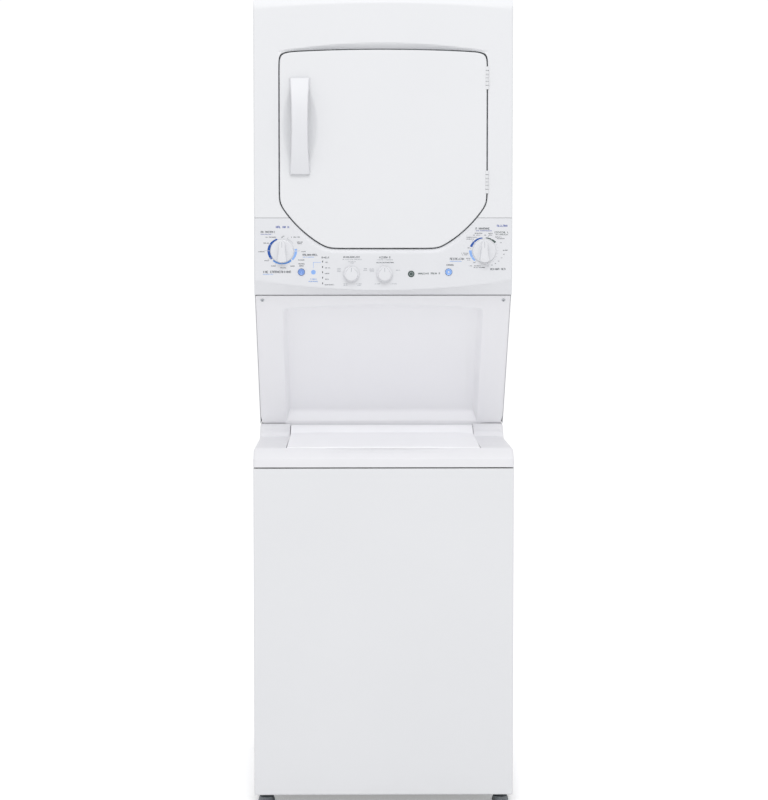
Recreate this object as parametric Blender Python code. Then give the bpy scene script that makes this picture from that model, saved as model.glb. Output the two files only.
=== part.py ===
"""A stacked laundry centre: a top-loading washer with a dryer carried above it on a sloping stand.

Metres, +Z up, the front facing -Y. The origin is on the floor under the middle of the whole object.
Every piece is its own closed solid, named for what it is.
"""

import math

import bmesh
import bpy
from mathutils import Matrix, Vector

# --- overall sizes -----------------------------------------------------------------------------
WIDTH = 0.603
CABINET_DEPTH = 0.745
WASHER_TOP = 0.837
UPPER_HEIGHT = 1.053
TOTAL_HEIGHT = WASHER_TOP + UPPER_HEIGHT
FOOT_HEIGHT = 0.025
COLLAR_OUT = 0.027

# --- how far each front face stands behind the washer's front -----------------------------------
DRYER_SETBACK = 0.094
HINGE_SETBACK = 0.441
LID_FRONT_SETBACK = 0.034

# --- walls and clearances ------------------------------------------------------------------------
SHEET = 0.0015
MOULDING = 0.003
GAP = 0.0006
RUNNING = 0.0004
MARGIN = 0.02

# --- faces that the sizes above fix --------------------------------------------------------------
HALF = WIDTH / 2
Y_FRONT = -(CABINET_DEPTH + COLLAR_OUT) / 2
Y_BACK = Y_FRONT + CABINET_DEPTH
DRYER_FACE = Y_FRONT + DRYER_SETBACK
INSIDE = HALF - SHEET - GAP
PAN_DEPTH = 0.0235
FRONT_RETURN = 0.020

# --- washer heights -----------------------------------------------------------------------------
COVER_SKIRT = 0.042
SEAM_Z = WASHER_TOP - COVER_SKIRT
COVER_REAR_RISE = 0.015
COVER_REAR_Z = WASHER_TOP + COVER_REAR_RISE

# --- the dryer's heights ------------------------------------------------------------------------
DRUM_Z_ABOVE_WASHER = 0.7125
DRUM_Z = WASHER_TOP + DRUM_Z_ABOVE_WASHER
CONTROL_BOTTOM = DRUM_Z - 0.3605
CONTROL_TOP = DRUM_Z - 0.181
DECK_Z = CONTROL_BOTTOM + 0.0095
DECK_TOP = DECK_Z + SHEET

# --- the dryer door -----------------------------------------------------------------------------
DOOR_HALF = 0.2405
DOOR_TOP = 0.209
DOOR_TOP_ARCH = 0.007
DOOR_BOTTOM = 0.2505
DOOR_ARC_R = 0.281
DOOR_GAP = 0.003
DOOR_THICK = 0.022
DOOR_PROUD = 0.003
PLUG_R = 0.180
PLUG_FLOOR = 0.137
PLUG_DEEP = 0.034
HINGE_R = 0.004
HINGE_X = DOOR_HALF + 0.001
HINGE_Y = DRYER_FACE - 0.0015
HINGE_LONG = 0.053
HINGE_HEIGHTS = (0.144, -0.097)
HINGE_NOTCH = HINGE_R + 0.0012
LEAF_THICK = 0.0014
LEAF_INSET = 0.0028

# --- the handle ---------------------------------------------------------------------------------
HANDLE_INSET = 0.0467
HANDLE_X = -(DOOR_HALF - HANDLE_INSET)
HANDLE_Z = DRUM_Z + 0.0325
HANDLE_LONG = 0.2235
HANDLE_WIDE = 0.048
HANDLE_OUT = 0.031
HANDLE_BAR = 0.009
DISH_HALF_X = 0.038
DISH_HALF_Z = 0.089
DISH_DEEP = 0.013

# --- drum and what turns it ---------------------------------------------------------------------
DRUM_R = 0.272
DRUM_FRONT = DRYER_FACE + 0.090
DRUM_REAR = Y_BACK - 0.092
DRUM_LIP = 0.010
RING_R = DRUM_R - DRUM_LIP - 0.004
OPENING_R = 0.195
OPENING_FLOOR = 0.150
BULKHEAD_Y = DRYER_FACE + 0.028
REAR_PLATE_Y = DRUM_REAR + 0.006
PULLEY_R = 0.011
ROLLER_R = 0.035
ROLLER_ANGLE = math.radians(35)
ROLLER_WIDE = 0.022
AXLE_R = 0.006
BELT_Y = DRUM_REAR - 0.085
BELT_WIDE = 0.008
BELT_THICK = 0.002
BLOWER_X = -0.200
BLOWER_R = 0.060
BLOWER_Z = DECK_TOP + BLOWER_R + 0.002
BLOWER_Y = DRYER_FACE + 0.207
BLOWER_LONG = 0.070
MOTOR_R = 0.052
IDLER_R = 0.016
EXHAUST_R = 0.0515
EXHAUST_Z = DECK_Z - EXHAUST_R - 0.012

# --- tub, basket and agitator --------------------------------------------------------------------
TUB_Y = Y_FRONT + 0.315
TUB_R = 0.262
TUB_WALL = 0.004
TUB_BOTTOM = 0.270
TUB_TOP = SEAM_Z - 0.045
EAR_Z = 0.360
EAR_INSET = 0.026
EAR_REACH = TUB_R - EAR_INSET
TUB_TO_BASKET = 0.030
BASKET_R = TUB_R - TUB_TO_BASKET
BASKET_BOTTOM = TUB_BOTTOM + 0.035
BASKET_TOP = TUB_TOP - 0.010
BALANCE_RING = 0.022
SHAFT_R = 0.012
DRIVE_Z = 0.105
DRIVE_PULLEY_R = 0.070
MOTOR_PULLEY_R = 0.020
GROOVE = 0.004
GROOVE_BELT = 0.003
WASHER_MOTOR = (0.135, TUB_Y + 0.085)
SKIRT_CLEAR = 0.067
AGITATOR_SKIRT = BASKET_R - SKIRT_CLEAR
AGITATOR_TOP = BASKET_TOP - 0.085
STRUT_TOP = SEAM_Z - 0.012

# --- the lid and its opening ---------------------------------------------------------------------
LID_HALF = 0.2245
LID_GAP = 0.0025
LID_SKIRT = 0.014
LID_ROD_R = 0.0012
HINGE_LINE = (Y_FRONT + HINGE_SETBACK, WASHER_TOP + 0.008)
DECK_DROP = 0.0135
TRAY_DEEP = 0.034
TUB_MOUTH_R = 0.190

# --- the sloping panel ----------------------------------------------------------------------------
SLOPE_FOOT = (Y_FRONT + HINGE_SETBACK + 0.010, COVER_REAR_Z + GAP)
SLOPE_HEAD = (DRYER_FACE + PAN_DEPTH + 0.0155, CONTROL_BOTTOM - 0.0075)
RECESS_DEEP = 0.020
RECESS_HALF = LID_HALF + 0.012
RECESS_DRAFT = 0.010

# --- controls -------------------------------------------------------------------------------------
CYCLE_X = 0.236
CYCLE_Z = DRUM_Z - 0.2575
CYCLE_R = 0.027
CYCLE_OUT = 0.020
SELECTOR_X = (-0.0745, 0.0034)
SELECTOR_Z = DRUM_Z - 0.3115
SELECTOR_R = 0.0185
SELECTOR_OUT = 0.016
STEM_R = 0.005
TIMER_HALF = 0.028
TIMER_REACH = math.hypot(CYCLE_X - TIMER_HALF, DRUM_Z - CYCLE_Z - TIMER_HALF)
WALL_CLEAR = 0.019
LOWER_REACH = min(INSIDE - 0.009, TIMER_REACH - WALL_CLEAR)
RINSE_X = -0.1911
START_X = 0.1528
BUTTON_Z = DRUM_Z - 0.3068
BUTTON_R = 0.0078
BUTTON_OUT = 0.0035
LENS_X = -0.1415
LENS_Z = (DRUM_Z - 0.2823, DRUM_Z - 0.2950, DRUM_Z - 0.3072, DRUM_Z - 0.3199, DRUM_Z - 0.3330)
LENS_SIZE = (0.0018, 0.0040)

LATHE_STEPS = 32


# --- materials ------------------------------------------------------------------------------------
def material(name, colour, roughness, metallic=0.0):
    """A Principled material with one colour."""
    made = bpy.data.materials.new(name)
    made.use_nodes = True
    shader = made.node_tree.nodes["Principled BSDF"]
    shader.inputs["Base Color"].default_value = (*colour, 1.0)
    shader.inputs["Roughness"].default_value = roughness
    shader.inputs["Metallic"].default_value = metallic
    return made


def materials():
    """One material for each finish on the object."""
    return {
        "paint": material("white_paint", (0.84, 0.85, 0.86), 0.35),
        "plastic": material("white_plastic", (0.83, 0.84, 0.85), 0.40),
        "button": material("blue_plastic", (0.20, 0.36, 0.68), 0.35),
        "steel": material("galvanised_steel", (0.56, 0.57, 0.58), 0.40, 0.9),
        "stainless": material("stainless_steel", (0.62, 0.62, 0.61), 0.25, 1.0),
        "grey": material("grey_plastic", (0.36, 0.37, 0.38), 0.55),
        "tub": material("white_tub_plastic", (0.70, 0.72, 0.72), 0.45),
        "rubber": material("black_rubber", (0.03, 0.03, 0.03), 0.70),
        "cast": material("cast_aluminium", (0.60, 0.61, 0.62), 0.50, 0.8),
    }


FINISH = {}


# --- shape helpers --------------------------------------------------------------------------------
def place(axis, u, v, w):
    """A point from its two coordinates across an axis and one along it."""
    if axis == "X":
        return Vector((w, u, v))
    if axis == "Y":
        return Vector((u, w, v))
    return Vector((u, v, w))


def finish_mesh(name, bm, finish, smooth=True):
    """Turns a bmesh into an object with outward faces and its material."""
    bmesh.ops.recalc_face_normals(bm, faces=bm.faces)
    mesh = bpy.data.meshes.new(name)
    bm.to_mesh(mesh)
    bm.free()
    if smooth:
        mesh.shade_smooth()
        mesh.set_sharp_from_angle(angle=math.radians(30))
    obj = bpy.data.objects.new(name, mesh)
    bpy.context.scene.collection.objects.link(obj)
    if finish:
        mesh.materials.append(FINISH[finish])
    return obj


def prism(name, edge, low, high, axis, finish=None, holes=()):
    """A straight extrusion of an outline, with holes right through it."""
    bm = bmesh.new()
    edges = []
    for loop in (edge, *holes):
        ring = [bm.verts.new(place(axis, u, v, low)) for u, v in loop]
        for a, b in zip(ring, ring[1:] + ring[:1]):
            edges.append(bm.edges.new((a, b)))
    bmesh.ops.triangle_fill(bm, edges=edges, use_beauty=True, use_dissolve=False)
    raised = bmesh.ops.extrude_face_region(bm, geom=bm.faces[:])
    moved = [g for g in raised["geom"] if isinstance(g, bmesh.types.BMVert)]
    bmesh.ops.translate(bm, verts=moved, vec=place(axis, 0, 0, high - low))
    return finish_mesh(name, bm, finish)


def box(name, x, y, z, finish=None):
    """A block between two values on each axis."""
    return prism(name, [(x[0], y[0]), (x[1], y[0]), (x[1], y[1]), (x[0], y[1])], z[0], z[1], "Z", finish)


def loft(name, loops, finish=None):
    """A closed skin over loops that hold the same number of points, with flat ends."""
    bm = bmesh.new()
    rings = [[bm.verts.new(Vector(p)) for p in loop] for loop in loops]
    count = len(rings[0])
    for a, b in zip(rings, rings[1:]):
        for i in range(count):
            j = (i + 1) % count
            bm.faces.new((a[i], a[j], b[j], b[i]))
    bm.faces.new(rings[0])
    bm.faces.new(rings[-1])
    return finish_mesh(name, bm, finish)


def lathe(name, profile, centre, axis, finish=None, steps=LATHE_STEPS):
    """Turns a closed profile of (radius, height) points round an axis; a radius of 0 is a pole."""
    bm = bmesh.new()
    rings = []
    for radius, height in profile:
        turns = steps if radius > 0 else 1
        ring = []
        for i in range(turns):
            angle = math.tau * i / steps
            u = centre[0] + radius * math.cos(angle)
            v = centre[1] + radius * math.sin(angle)
            ring.append(bm.verts.new(place(axis, u, v, height)))
        rings.append(ring)
    ends = list(zip(rings, rings[1:] + rings[:1]))
    if len(rings[0]) == 1:
        ends = ends[:-1]
    for a, b in ends:
        for i in range(steps):
            j = (i + 1) % steps
            corners = [a[i % len(a)], a[j % len(a)], b[j % len(b)], b[i % len(b)]]
            bm.faces.new(list(dict.fromkeys(corners)))
    return finish_mesh(name, bm, finish)


def rod(name, centre, axis, radius, low, high, finish=None, steps=24):
    """A plain cylinder."""
    return lathe(name, [(0, low), (radius, low), (radius, high), (0, high)], centre, axis, finish, steps)


def tube(name, centre, axis, inner, outer, low, high, finish=None, steps=LATHE_STEPS):
    """A plain ring or pipe."""
    profile = [(inner, low), (outer, low), (outer, high), (inner, high)]
    return lathe(name, profile, centre, axis, finish, steps)


def helper(obj):
    """Marks an object that only shapes others."""
    obj.hide_render = True
    obj.display_type = "WIRE"
    return obj


def combine(obj, other, operation):
    """Adds an exact Boolean with a helper object."""
    step = obj.modifiers.new(operation.lower(), "BOOLEAN")
    step.operation = operation
    step.object = helper(other)
    step.solver = "EXACT"
    return obj


def join(obj, *others):
    """Makes one body of an object and the helpers that overlap it."""
    for other in others:
        combine(obj, other, "UNION")
    return obj


def cut(obj, *cutters):
    """Takes the cutters out of an object."""
    for cutter in cutters:
        combine(obj, cutter, "DIFFERENCE")
    return obj


def circle(cx, cy, radius, steps=16):
    """The points of a circle."""
    return [
        (cx + radius * math.cos(math.tau * i / steps), cy + radius * math.sin(math.tau * i / steps))
        for i in range(steps)
    ]


def rectangle(x0, x1, y0, y1):
    """The four corners of a rectangle."""
    return [(x0, y0), (x1, y0), (x1, y1), (x0, y1)]


def offset_path(path, distance):
    """An open path moved sideways by a distance, to its left, with mitred corners."""
    moved = []
    for i, point in enumerate(path):
        here = Vector(point)
        sides = []
        if i:
            sides.append((here - Vector(path[i - 1])).normalized())
        if i < len(path) - 1:
            sides.append((Vector(path[i + 1]) - here).normalized())
        normals = [Vector((-s.y, s.x)) for s in sides]
        mitre = sum(normals, Vector((0, 0))).normalized()
        moved.append(tuple(here + mitre * distance / mitre.dot(normals[0])))
    return moved


def pan(name, skin, half_width, wall, opening, finish):
    """A pressed or moulded pan: a side profile across the width, hollow towards its opening.

    The skin is an open (y, z) path with the hollow on its left; opening is the way it faces.
    """
    outer = prism(name, skin, -half_width, half_width, "X", finish)
    inner = offset_path(skin, wall)
    reach = Vector(opening) * MARGIN
    ends = [tuple(Vector(inner[-1]) + reach), tuple(Vector(inner[0]) + reach)]
    hollow = prism(name + "_hollow", inner + ends, -half_width + wall, half_width - wall, "X")
    return cut(outer, hollow)


def rounded_least(limits, sharpness):
    """The least of several distances, with the corners between them rounded."""
    return sum(limit ** -sharpness for limit in limits) ** (-1 / sharpness)


def door_reach(angle, grow=0.0):
    """The door's edge, from the drum's axis: flat sides, a low arch on top, the drum's curve below."""
    c, s = math.cos(angle), math.sin(angle)
    side = (DOOR_HALF + grow) / max(abs(c), 0.05)
    if s > 0:
        across = min(abs(c) * side / DOOR_HALF, 1.0) if abs(c) > 0.05 else 0.0
        across = min(across, abs(c / max(s, 0.05)) * DOOR_TOP / DOOR_HALF)
        top = (DOOR_TOP - DOOR_TOP_ARCH * across ** 2 + grow) / max(s, 0.05)
        return rounded_least((side, top), 26)
    bottom = (DOOR_BOTTOM + grow) / max(-s, 0.05)
    return rounded_least((side, bottom, DOOR_ARC_R + grow), 80)


def mouth_reach(angle, radius, floor):
    """How far a round mouth with a flat floor is from the drum's axis."""
    return rounded_least((radius, floor / max(-math.sin(angle), 0.05)), 60)


def wall_reach(angle):
    """How far the front bulkhead spreads from the drum's axis."""
    c, s = math.cos(angle), math.sin(angle)
    side, top = (INSIDE - 0.008) / max(abs(c), 0.05), (RING_R + 0.006) / max(s, 0.05)
    return rounded_least((side, top), 30) if s > 0 else rounded_least((side, LOWER_REACH), 60)


def chosen_angles(reach, tolerance, steps=360):
    """The few angles that still draw an outline to within a tolerance."""
    ring = [(math.tau * i / steps, reach(math.tau * i / steps)) for i in range(steps + 1)]
    spots = [Vector((r * math.cos(a), r * math.sin(a))) for a, r in ring]
    kept, start = [0], 0
    while start < steps:
        end = start + 1
        while end < steps and end - start < 30:
            chord = spots[end + 1] - spots[start]
            normal = Vector((-chord.y, chord.x)).normalized()
            if max(abs(normal.dot(p - spots[start])) for p in spots[start:end + 2]) > tolerance:
                break
            end += 1
        kept.append(end)
        start = end
    return [ring[i][0] for i in kept[:-1]]


def outline(reach, angles):
    """The points at a list of angles about the drum's axis."""
    return [(reach(a) * math.cos(a), DRUM_Z + reach(a) * math.sin(a)) for a in angles]


DOOR_ANGLES = chosen_angles(door_reach, 0.0004)
MOUTH_ANGLES = chosen_angles(lambda a: mouth_reach(a, OPENING_R, OPENING_FLOOR), 0.0008)
WALL_ANGLES = chosen_angles(wall_reach, 0.0012)


def door_outline(grow=0.0):
    """The door's outline, grown or shrunk."""
    return outline(lambda a: door_reach(a, grow), DOOR_ANGLES)


def opening_outline(radius, floor):
    """A circle about the drum's axis with its bottom cut flat."""
    return outline(lambda a: mouth_reach(a, radius, floor), MOUTH_ANGLES)


# --- the washer's casing ----------------------------------------------------------------------------
CABINET_FRONT = Y_FRONT + FRONT_RETURN + GAP
CHANNEL = 0.050
CHANNEL_HIGH = 0.030
BASE_X = INSIDE
BASE_Y = (CABINET_FRONT + SHEET + GAP, Y_BACK - SHEET - GAP)
FOOT_X = BASE_X - CHANNEL / 2
FOOT_Y = (BASE_Y[0] + CHANNEL / 2, BASE_Y[1] - CHANNEL / 2)
VALVE_X = (0.205, 0.255)
VALVE_Z = SEAM_Z - 0.060
PORT_R = 0.0125
STRUTS = [(sx * EAR_REACH, TUB_Y + sy * EAR_REACH) for sx in (-1, 1) for sy in (-1, 1)]


def base_frame():
    """A channel of folded steel, open below, that stands on the feet."""
    y0, y1 = BASE_Y
    top = FOOT_HEIGHT + CHANNEL_HIGH
    inner = rectangle(-BASE_X + CHANNEL, BASE_X - CHANNEL, y0 + CHANNEL, y1 - CHANNEL)
    frame = prism("base_frame", rectangle(-BASE_X, BASE_X, y0, y1), FOOT_HEIGHT, top, "Z", "steel", [inner])
    wide = rectangle(-BASE_X + SHEET, BASE_X - SHEET, y0 + SHEET, y1 - SHEET)
    web = CHANNEL - SHEET
    narrow = rectangle(-BASE_X + web, BASE_X - web, y0 + web, y1 - web)
    return cut(frame, prism("channel_hollow", wide, FOOT_HEIGHT - MARGIN, top - SHEET, "Z", None, [narrow]))


def leveling_feet():
    """Four screw-in feet, each with a pad and a stud."""
    stud_top = FOOT_HEIGHT + CHANNEL_HIGH - SHEET - GAP
    profile = [(0, 0), (0.018, 0), (0.020, 0.004), (0.017, 0.013), (0.005, 0.015)]
    profile += [(0.005, stud_top), (0, stud_top)]
    for depth, y in zip(("front", "rear"), FOOT_Y):
        for side, x in (("left", -FOOT_X), ("right", FOOT_X)):
            lathe(f"leveling_foot_{depth}_{side}", profile, (x, y), "Z", "grey", 16)


def washer_cabinet():
    """Three sides folded from one sheet, with a brace that carries the tub's struts."""
    y0, y1, lip = CABINET_FRONT, Y_BACK, 0.020
    inner = HALF - SHEET
    fold = [(-HALF, y0), (-HALF, y1), (HALF, y1), (HALF, y0), (HALF - lip, y0), (HALF - lip, y0 + SHEET)]
    fold += [(inner, y0 + SHEET), (inner, y1 - SHEET), (-inner, y1 - SHEET), (-inner, y0 + SHEET)]
    fold += [(-HALF + lip, y0 + SHEET), (-HALF + lip, y0)]
    cabinet = prism("washer_cabinet", fold, FOOT_HEIGHT, SEAM_Z - GAP, "Z", "paint")
    overlap = SHEET / 2
    frame = rectangle(-HALF + overlap, HALF - overlap, y0 + overlap, y1 - overlap)
    mouth = circle(0, TUB_Y, TUB_R + 0.022, LATHE_STEPS)
    eyes = [circle(x, y, 0.0055, 8) for x, y in STRUTS]
    service = rectangle(-0.2, 0.2, TUB_Y + TUB_R + 0.04, y1 - 0.03)
    holes = [mouth, *eyes, service]
    brace = prism("strut_brace", frame, STRUT_TOP - 0.008, STRUT_TOP - 0.006, "Z", None, holes)
    join(cabinet, brace)
    for x in VALVE_X:
        cut(cabinet, rod("port_hole", (x, VALVE_Z), "Y", PORT_R + GAP, y1 - MARGIN, y1 + MARGIN))
    return cabinet


def washer_front_panel():
    """The removable front: a shallow pan that faces back."""
    low, high, back = FOOT_HEIGHT + GAP, SEAM_Z - 0.0025, Y_FRONT + FRONT_RETURN
    soft = 0.003
    skin = [(back, low), (Y_FRONT + soft, low), (Y_FRONT, low + soft), (Y_FRONT, high - soft)]
    skin += [(Y_FRONT + soft, high), (back, high)]
    return pan("washer_front_panel", skin[::-1], HALF, SHEET, (1, 0), "paint")


# --- the washer's top ---------------------------------------------------------------------------------
LID_FRONT = Y_FRONT + LID_FRONT_SETBACK
RISER_Y = Y_FRONT + HINGE_SETBACK - 0.036
COVER_BAND = [
    (Y_FRONT, SEAM_Z),
    (Y_FRONT, SEAM_Z + 0.0195),
    (Y_FRONT + 0.005, SEAM_Z + 0.0285),
    (Y_FRONT + 0.016, SEAM_Z + 0.0375),
    (LID_FRONT - LID_GAP, WASHER_TOP),
]


def cover_skin():
    """The top cover's side profile, front to back: rounded lip, falling deck, riser, rear shelf."""
    return COVER_BAND + [
        (RISER_Y, WASHER_TOP - DECK_DROP),
        (RISER_Y + 0.014, WASHER_TOP - 0.001),
        (SLOPE_FOOT[0] - 0.004, COVER_REAR_Z),
        (Y_BACK, COVER_REAR_Z),
        (Y_BACK, SEAM_Z),
    ]


def washer_top_cover():
    """The moulded top: a lip, a deck with the lid's recess and the tub's mouth, and a rear shelf."""
    cover = pan("washer_top_cover", cover_skin()[::-1], HALF, MOULDING, (0, -1), "plastic")
    x = LID_HALF + LID_GAP
    y = (LID_FRONT - LID_GAP, HINGE_LINE[0] + 0.010)
    floor = WASHER_TOP - TRAY_DEEP
    under = [(py, pz - 0.001) for py, pz in cover_skin() if y[0] - 0.001 < py < y[1]]
    edge = [(y[0] - MOULDING, floor - MOULDING), (y[1] + MOULDING, floor - MOULDING)]
    edge += [(y[1] + MOULDING, COVER_REAR_Z - 0.001)] + under[::-1] + [(y[0] - MOULDING, WASHER_TOP - 0.0025)]
    tray = prism("tray_block", edge, -x - MOULDING, x + MOULDING, "X")
    hollow = box("tray_hollow", (-x, x), y, (floor, COVER_REAR_Z + MARGIN))
    limit = HINGE_LINE[0] - 0.030
    mouth = [(px, min(py, limit)) for px, py in circle(0, TUB_Y, TUB_MOUTH_R, LATHE_STEPS)]
    join(cover, tray)
    cut(cover, hollow, prism("tub_mouth", mouth, floor - MARGIN, floor + MARGIN / 2, "Z"))
    seat = x + MOULDING + 0.010
    cut(cover, rod("rod_seat", HINGE_LINE, "X", LID_ROD_R + 0.0003, -seat, seat, steps=12))
    rear = (y[1] + 0.03, Y_BACK - 0.03)
    service = box("rear_service", (-0.22, 0.22), rear, (SEAM_Z, COVER_REAR_Z + MARGIN))
    return cut(cover, service)


def washer_lid():
    """The hinged lid: a crowned plate with a skirt, turned up at the back to meet its hinge."""
    high = WASHER_TOP + 0.001
    low = high - LID_SKIRT
    rear = HINGE_LINE[0]
    skin = [
        (LID_FRONT, low),
        (LID_FRONT, high - 0.003),
        (LID_FRONT + 0.004, high),
        (RISER_Y, high - 0.003),
        (RISER_Y + 0.010, high),
        (rear - 0.006, COVER_REAR_Z - 0.003),
        (rear + 0.004, COVER_REAR_Z - 0.003),
        (rear + 0.004, low + 0.006),
    ]
    lid = pan("washer_lid", skin[::-1], LID_HALF, 0.0025, (0, -1), "plastic")
    return cut(lid, rod("lid_rod_hole", HINGE_LINE, "X", LID_ROD_R + 0.0003, -HALF, HALF, steps=12))


def lid_hinge_rod():
    """The steel rod that the lid turns on, held in the walls of its recess."""
    reach = LID_HALF + LID_GAP + MOULDING + 0.004
    return rod("lid_hinge_rod", HINGE_LINE, "X", LID_ROD_R, -reach, reach, "steel", 12)


# --- the stand and the dryer's casing -------------------------------------------------------------------
def slope_frame():
    """The sloping panel's own axes: across, up the slope, and into the panel, from its foot."""
    foot, head = Vector(SLOPE_FOOT), Vector(SLOPE_HEAD)
    up = (head - foot).normalized()
    return Matrix(
        (
            (1, 0, 0, 0),
            (0, up.x, up.y, foot.x),
            (0, up.y, -up.x, foot.y),
            (0, 0, 0, 1),
        )
    )


def recess_outline(inset):
    """The recess that takes the open lid: straight sides and an arched head."""
    half = RECESS_HALF - inset
    long = (Vector(SLOPE_HEAD) - Vector(SLOPE_FOOT)).length
    head, arch = long - 0.0455 - inset * 0.4, 0.015
    points = [(-half, 0.006 + inset * 2.5), (half, 0.006 + inset * 2.5)]
    steps = 10
    for i in range(steps + 1):
        u = 1 - 2 * i / steps
        points.append((half * u, head + arch * (1 - u * u)))
    return points


def sloping_solid(name, loops, finish=None):
    """A loft drawn in the sloping panel's own axes."""
    matrix = slope_frame()
    return loft(name, [[matrix @ Vector((u, v, w)) for u, v in points] for points, w in loops], finish)


def sloping_panel():
    """The panel between washer and dryer, pressed in where the open lid rests."""
    long = (Vector(SLOPE_HEAD) - Vector(SLOPE_FOOT)).length
    plate = rectangle(-INSIDE, INSIDE, 0.002, long)
    panel = sloping_solid("sloping_panel", [(plate, 0), (plate, MOULDING)], "paint")
    deep = RECESS_DEEP
    back = [
        (recess_outline(-MOULDING), MOULDING / 2),
        (recess_outline(RECESS_DRAFT - MOULDING), deep + MOULDING),
    ]
    face = [
        (recess_outline(-RECESS_DRAFT * 0.5), -deep / 2),
        (recess_outline(RECESS_DRAFT), deep),
    ]
    join(panel, sloping_solid("recess_back", back))
    return cut(panel, sloping_solid("recess_face", face))


def upper_cabinet():
    """Stand sides, dryer sides and back folded from one sheet."""
    front = DRYER_FACE + PAN_DEPTH + GAP
    foot, head = Vector(SLOPE_FOOT), Vector(SLOPE_HEAD)
    slope = (head - foot).normalized()
    corner = head + slope * ((front - head.x) / slope.x)
    top = TOTAL_HEIGHT - 0.012
    side = [(Y_BACK, foot.y), (Y_BACK, top), (front, top), tuple(corner), tuple(foot)]
    cabinet = prism("upper_cabinet", side, -HALF, HALF, "X", "paint")
    hollow = rectangle(front - 0.5, Y_BACK - SHEET, foot.y - MARGIN, top + MARGIN)
    cut(cabinet, prism("cabinet_hollow", hollow, -HALF + SHEET, HALF - SHEET, "X"))
    duct = rod("duct_hole", (BLOWER_X, EXHAUST_Z), "Y", EXHAUST_R + 0.0015, Y_BACK - MARGIN, Y_BACK + MARGIN)
    return cut(cabinet, duct)


def dryer_top_panel():
    """The flat top, turned down at the back."""
    low, high = TOTAL_HEIGHT - 0.0115, TOTAL_HEIGHT
    front = DRYER_FACE + PAN_DEPTH + GAP
    skin = [(front, low), (front, high - 0.002), (front + 0.002, high)]
    skin += [(Y_BACK - 0.002, high), (Y_BACK, high - 0.002), (Y_BACK, low)]
    return pan("dryer_top_panel", skin[::-1], HALF, SHEET, (0, -1), "paint")


def door_hole(name):
    """What the door's outline and its clearance take out of the panels round it."""
    return prism(name, door_outline(DOOR_GAP), DRYER_FACE - MARGIN, DRYER_FACE + 0.06, "Y")


def hinge_spans():
    """The lowest and highest point of each hinge."""
    return [(DRUM_Z + h - HINGE_LONG / 2, DRUM_Z + h + HINGE_LONG / 2) for h in HINGE_HEIGHTS]


def dryer_front_panel():
    """The steel front round the door, with a sloped band along its top."""
    low, high, back = CONTROL_TOP + GAP, TOTAL_HEIGHT, DRYER_FACE + PAN_DEPTH
    skin = [(back, low), (DRYER_FACE, low), (DRYER_FACE, high - 0.020), (DRYER_FACE + 0.004, high - 0.008)]
    skin += [(DRYER_FACE + 0.014, high), (back, high)]
    front = pan("dryer_front_panel", skin[::-1], HALF, SHEET, (1, 0), "paint")
    cut(front, door_hole("front_door_hole"))
    for low_z, high_z in hinge_spans():
        span = (low_z - GAP, high_z + GAP)
        across, deep = (HINGE_X, HINGE_X + HINGE_NOTCH), (DRYER_FACE - 0.01, DRYER_FACE + 0.03)
        cut(front, box("panel_notch", across, deep, span))
    return front


def control_panel():
    """The moulded fascia below the door, turned under at its foot."""
    low, high, back = CONTROL_BOTTOM, CONTROL_TOP, DRYER_FACE + PAN_DEPTH
    skin = [(back, low), (DRYER_FACE + 0.014, low), (DRYER_FACE + 0.004, low + 0.008)]
    skin += [(DRYER_FACE, low + 0.022), (DRYER_FACE, high), (back, high)]
    panel = pan("control_panel", skin[::-1], HALF, 0.0025, (1, 0), "plastic")
    cut(panel, door_hole("fascia_door_hole"))
    y = (DRYER_FACE - MARGIN, DRYER_FACE + MARGIN)
    stems = [(s * CYCLE_X, CYCLE_Z) for s in (-1, 1)] + [(x, SELECTOR_Z) for x in SELECTOR_X]
    for at in stems:
        cut(panel, rod("stem_hole", at, "Y", STEM_R + 0.001, *y, steps=12))
    for x in (RINSE_X, START_X):
        cut(panel, rod("button_hole", (x, BUTTON_Z), "Y", BUTTON_R + RUNNING, *y, steps=20))
    w, h = LENS_SIZE[0] / 2 + RUNNING, LENS_SIZE[1] / 2 + RUNNING
    for z in LENS_Z:
        cut(panel, box("lens_slot", (LENS_X - w, LENS_X + w), y, (z - h, z + h)))
    return panel


# --- the dryer door -----------------------------------------------------------------------------------
def door_outer_panel():
    """The door's face: a pan with a dish behind the handle."""
    front, back = DRYER_FACE - DOOR_PROUD, DRYER_FACE - DOOR_PROUD + DOOR_THICK
    door = prism("door_outer_panel", door_outline(), front, back, "Y", "paint")
    cut(door, prism("door_hollow", door_outline(-SHEET), front + SHEET, back + MARGIN, "Y"))
    rings, steps = 5, 20
    loops, shell = [], []
    for i in range(rings):
        share = i / (rings - 1)
        wide = math.sqrt(1.15 - share * share * 0.95)
        y = front - 0.001 + (DISH_DEEP + 0.001) * share
        back_y = front + SHEET / 2 + (DISH_DEEP + SHEET / 2) * share
        ring = circle(0, 0, 1, steps)
        rx, rz, t = DISH_HALF_X * wide, DISH_HALF_Z * wide, 0.0025
        loops.append([(HANDLE_X + rx * c, y, HANDLE_Z + rz * s) for c, s in ring])
        shell.append([(HANDLE_X + (rx + t) * c, back_y, HANDLE_Z + (rz + t) * s) for c, s in ring])
    join(door, loft("dish_shell", shell))
    cut(door, loft("handle_dish", loops))
    for low, high in hinge_spans():
        span = (low - GAP, high + GAP)
        across, deep = (HINGE_X - HINGE_NOTCH, HINGE_X + 0.02), (front - 0.01, back + 0.01)
        cut(door, box("door_notch", across, deep, span))
    return door


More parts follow.
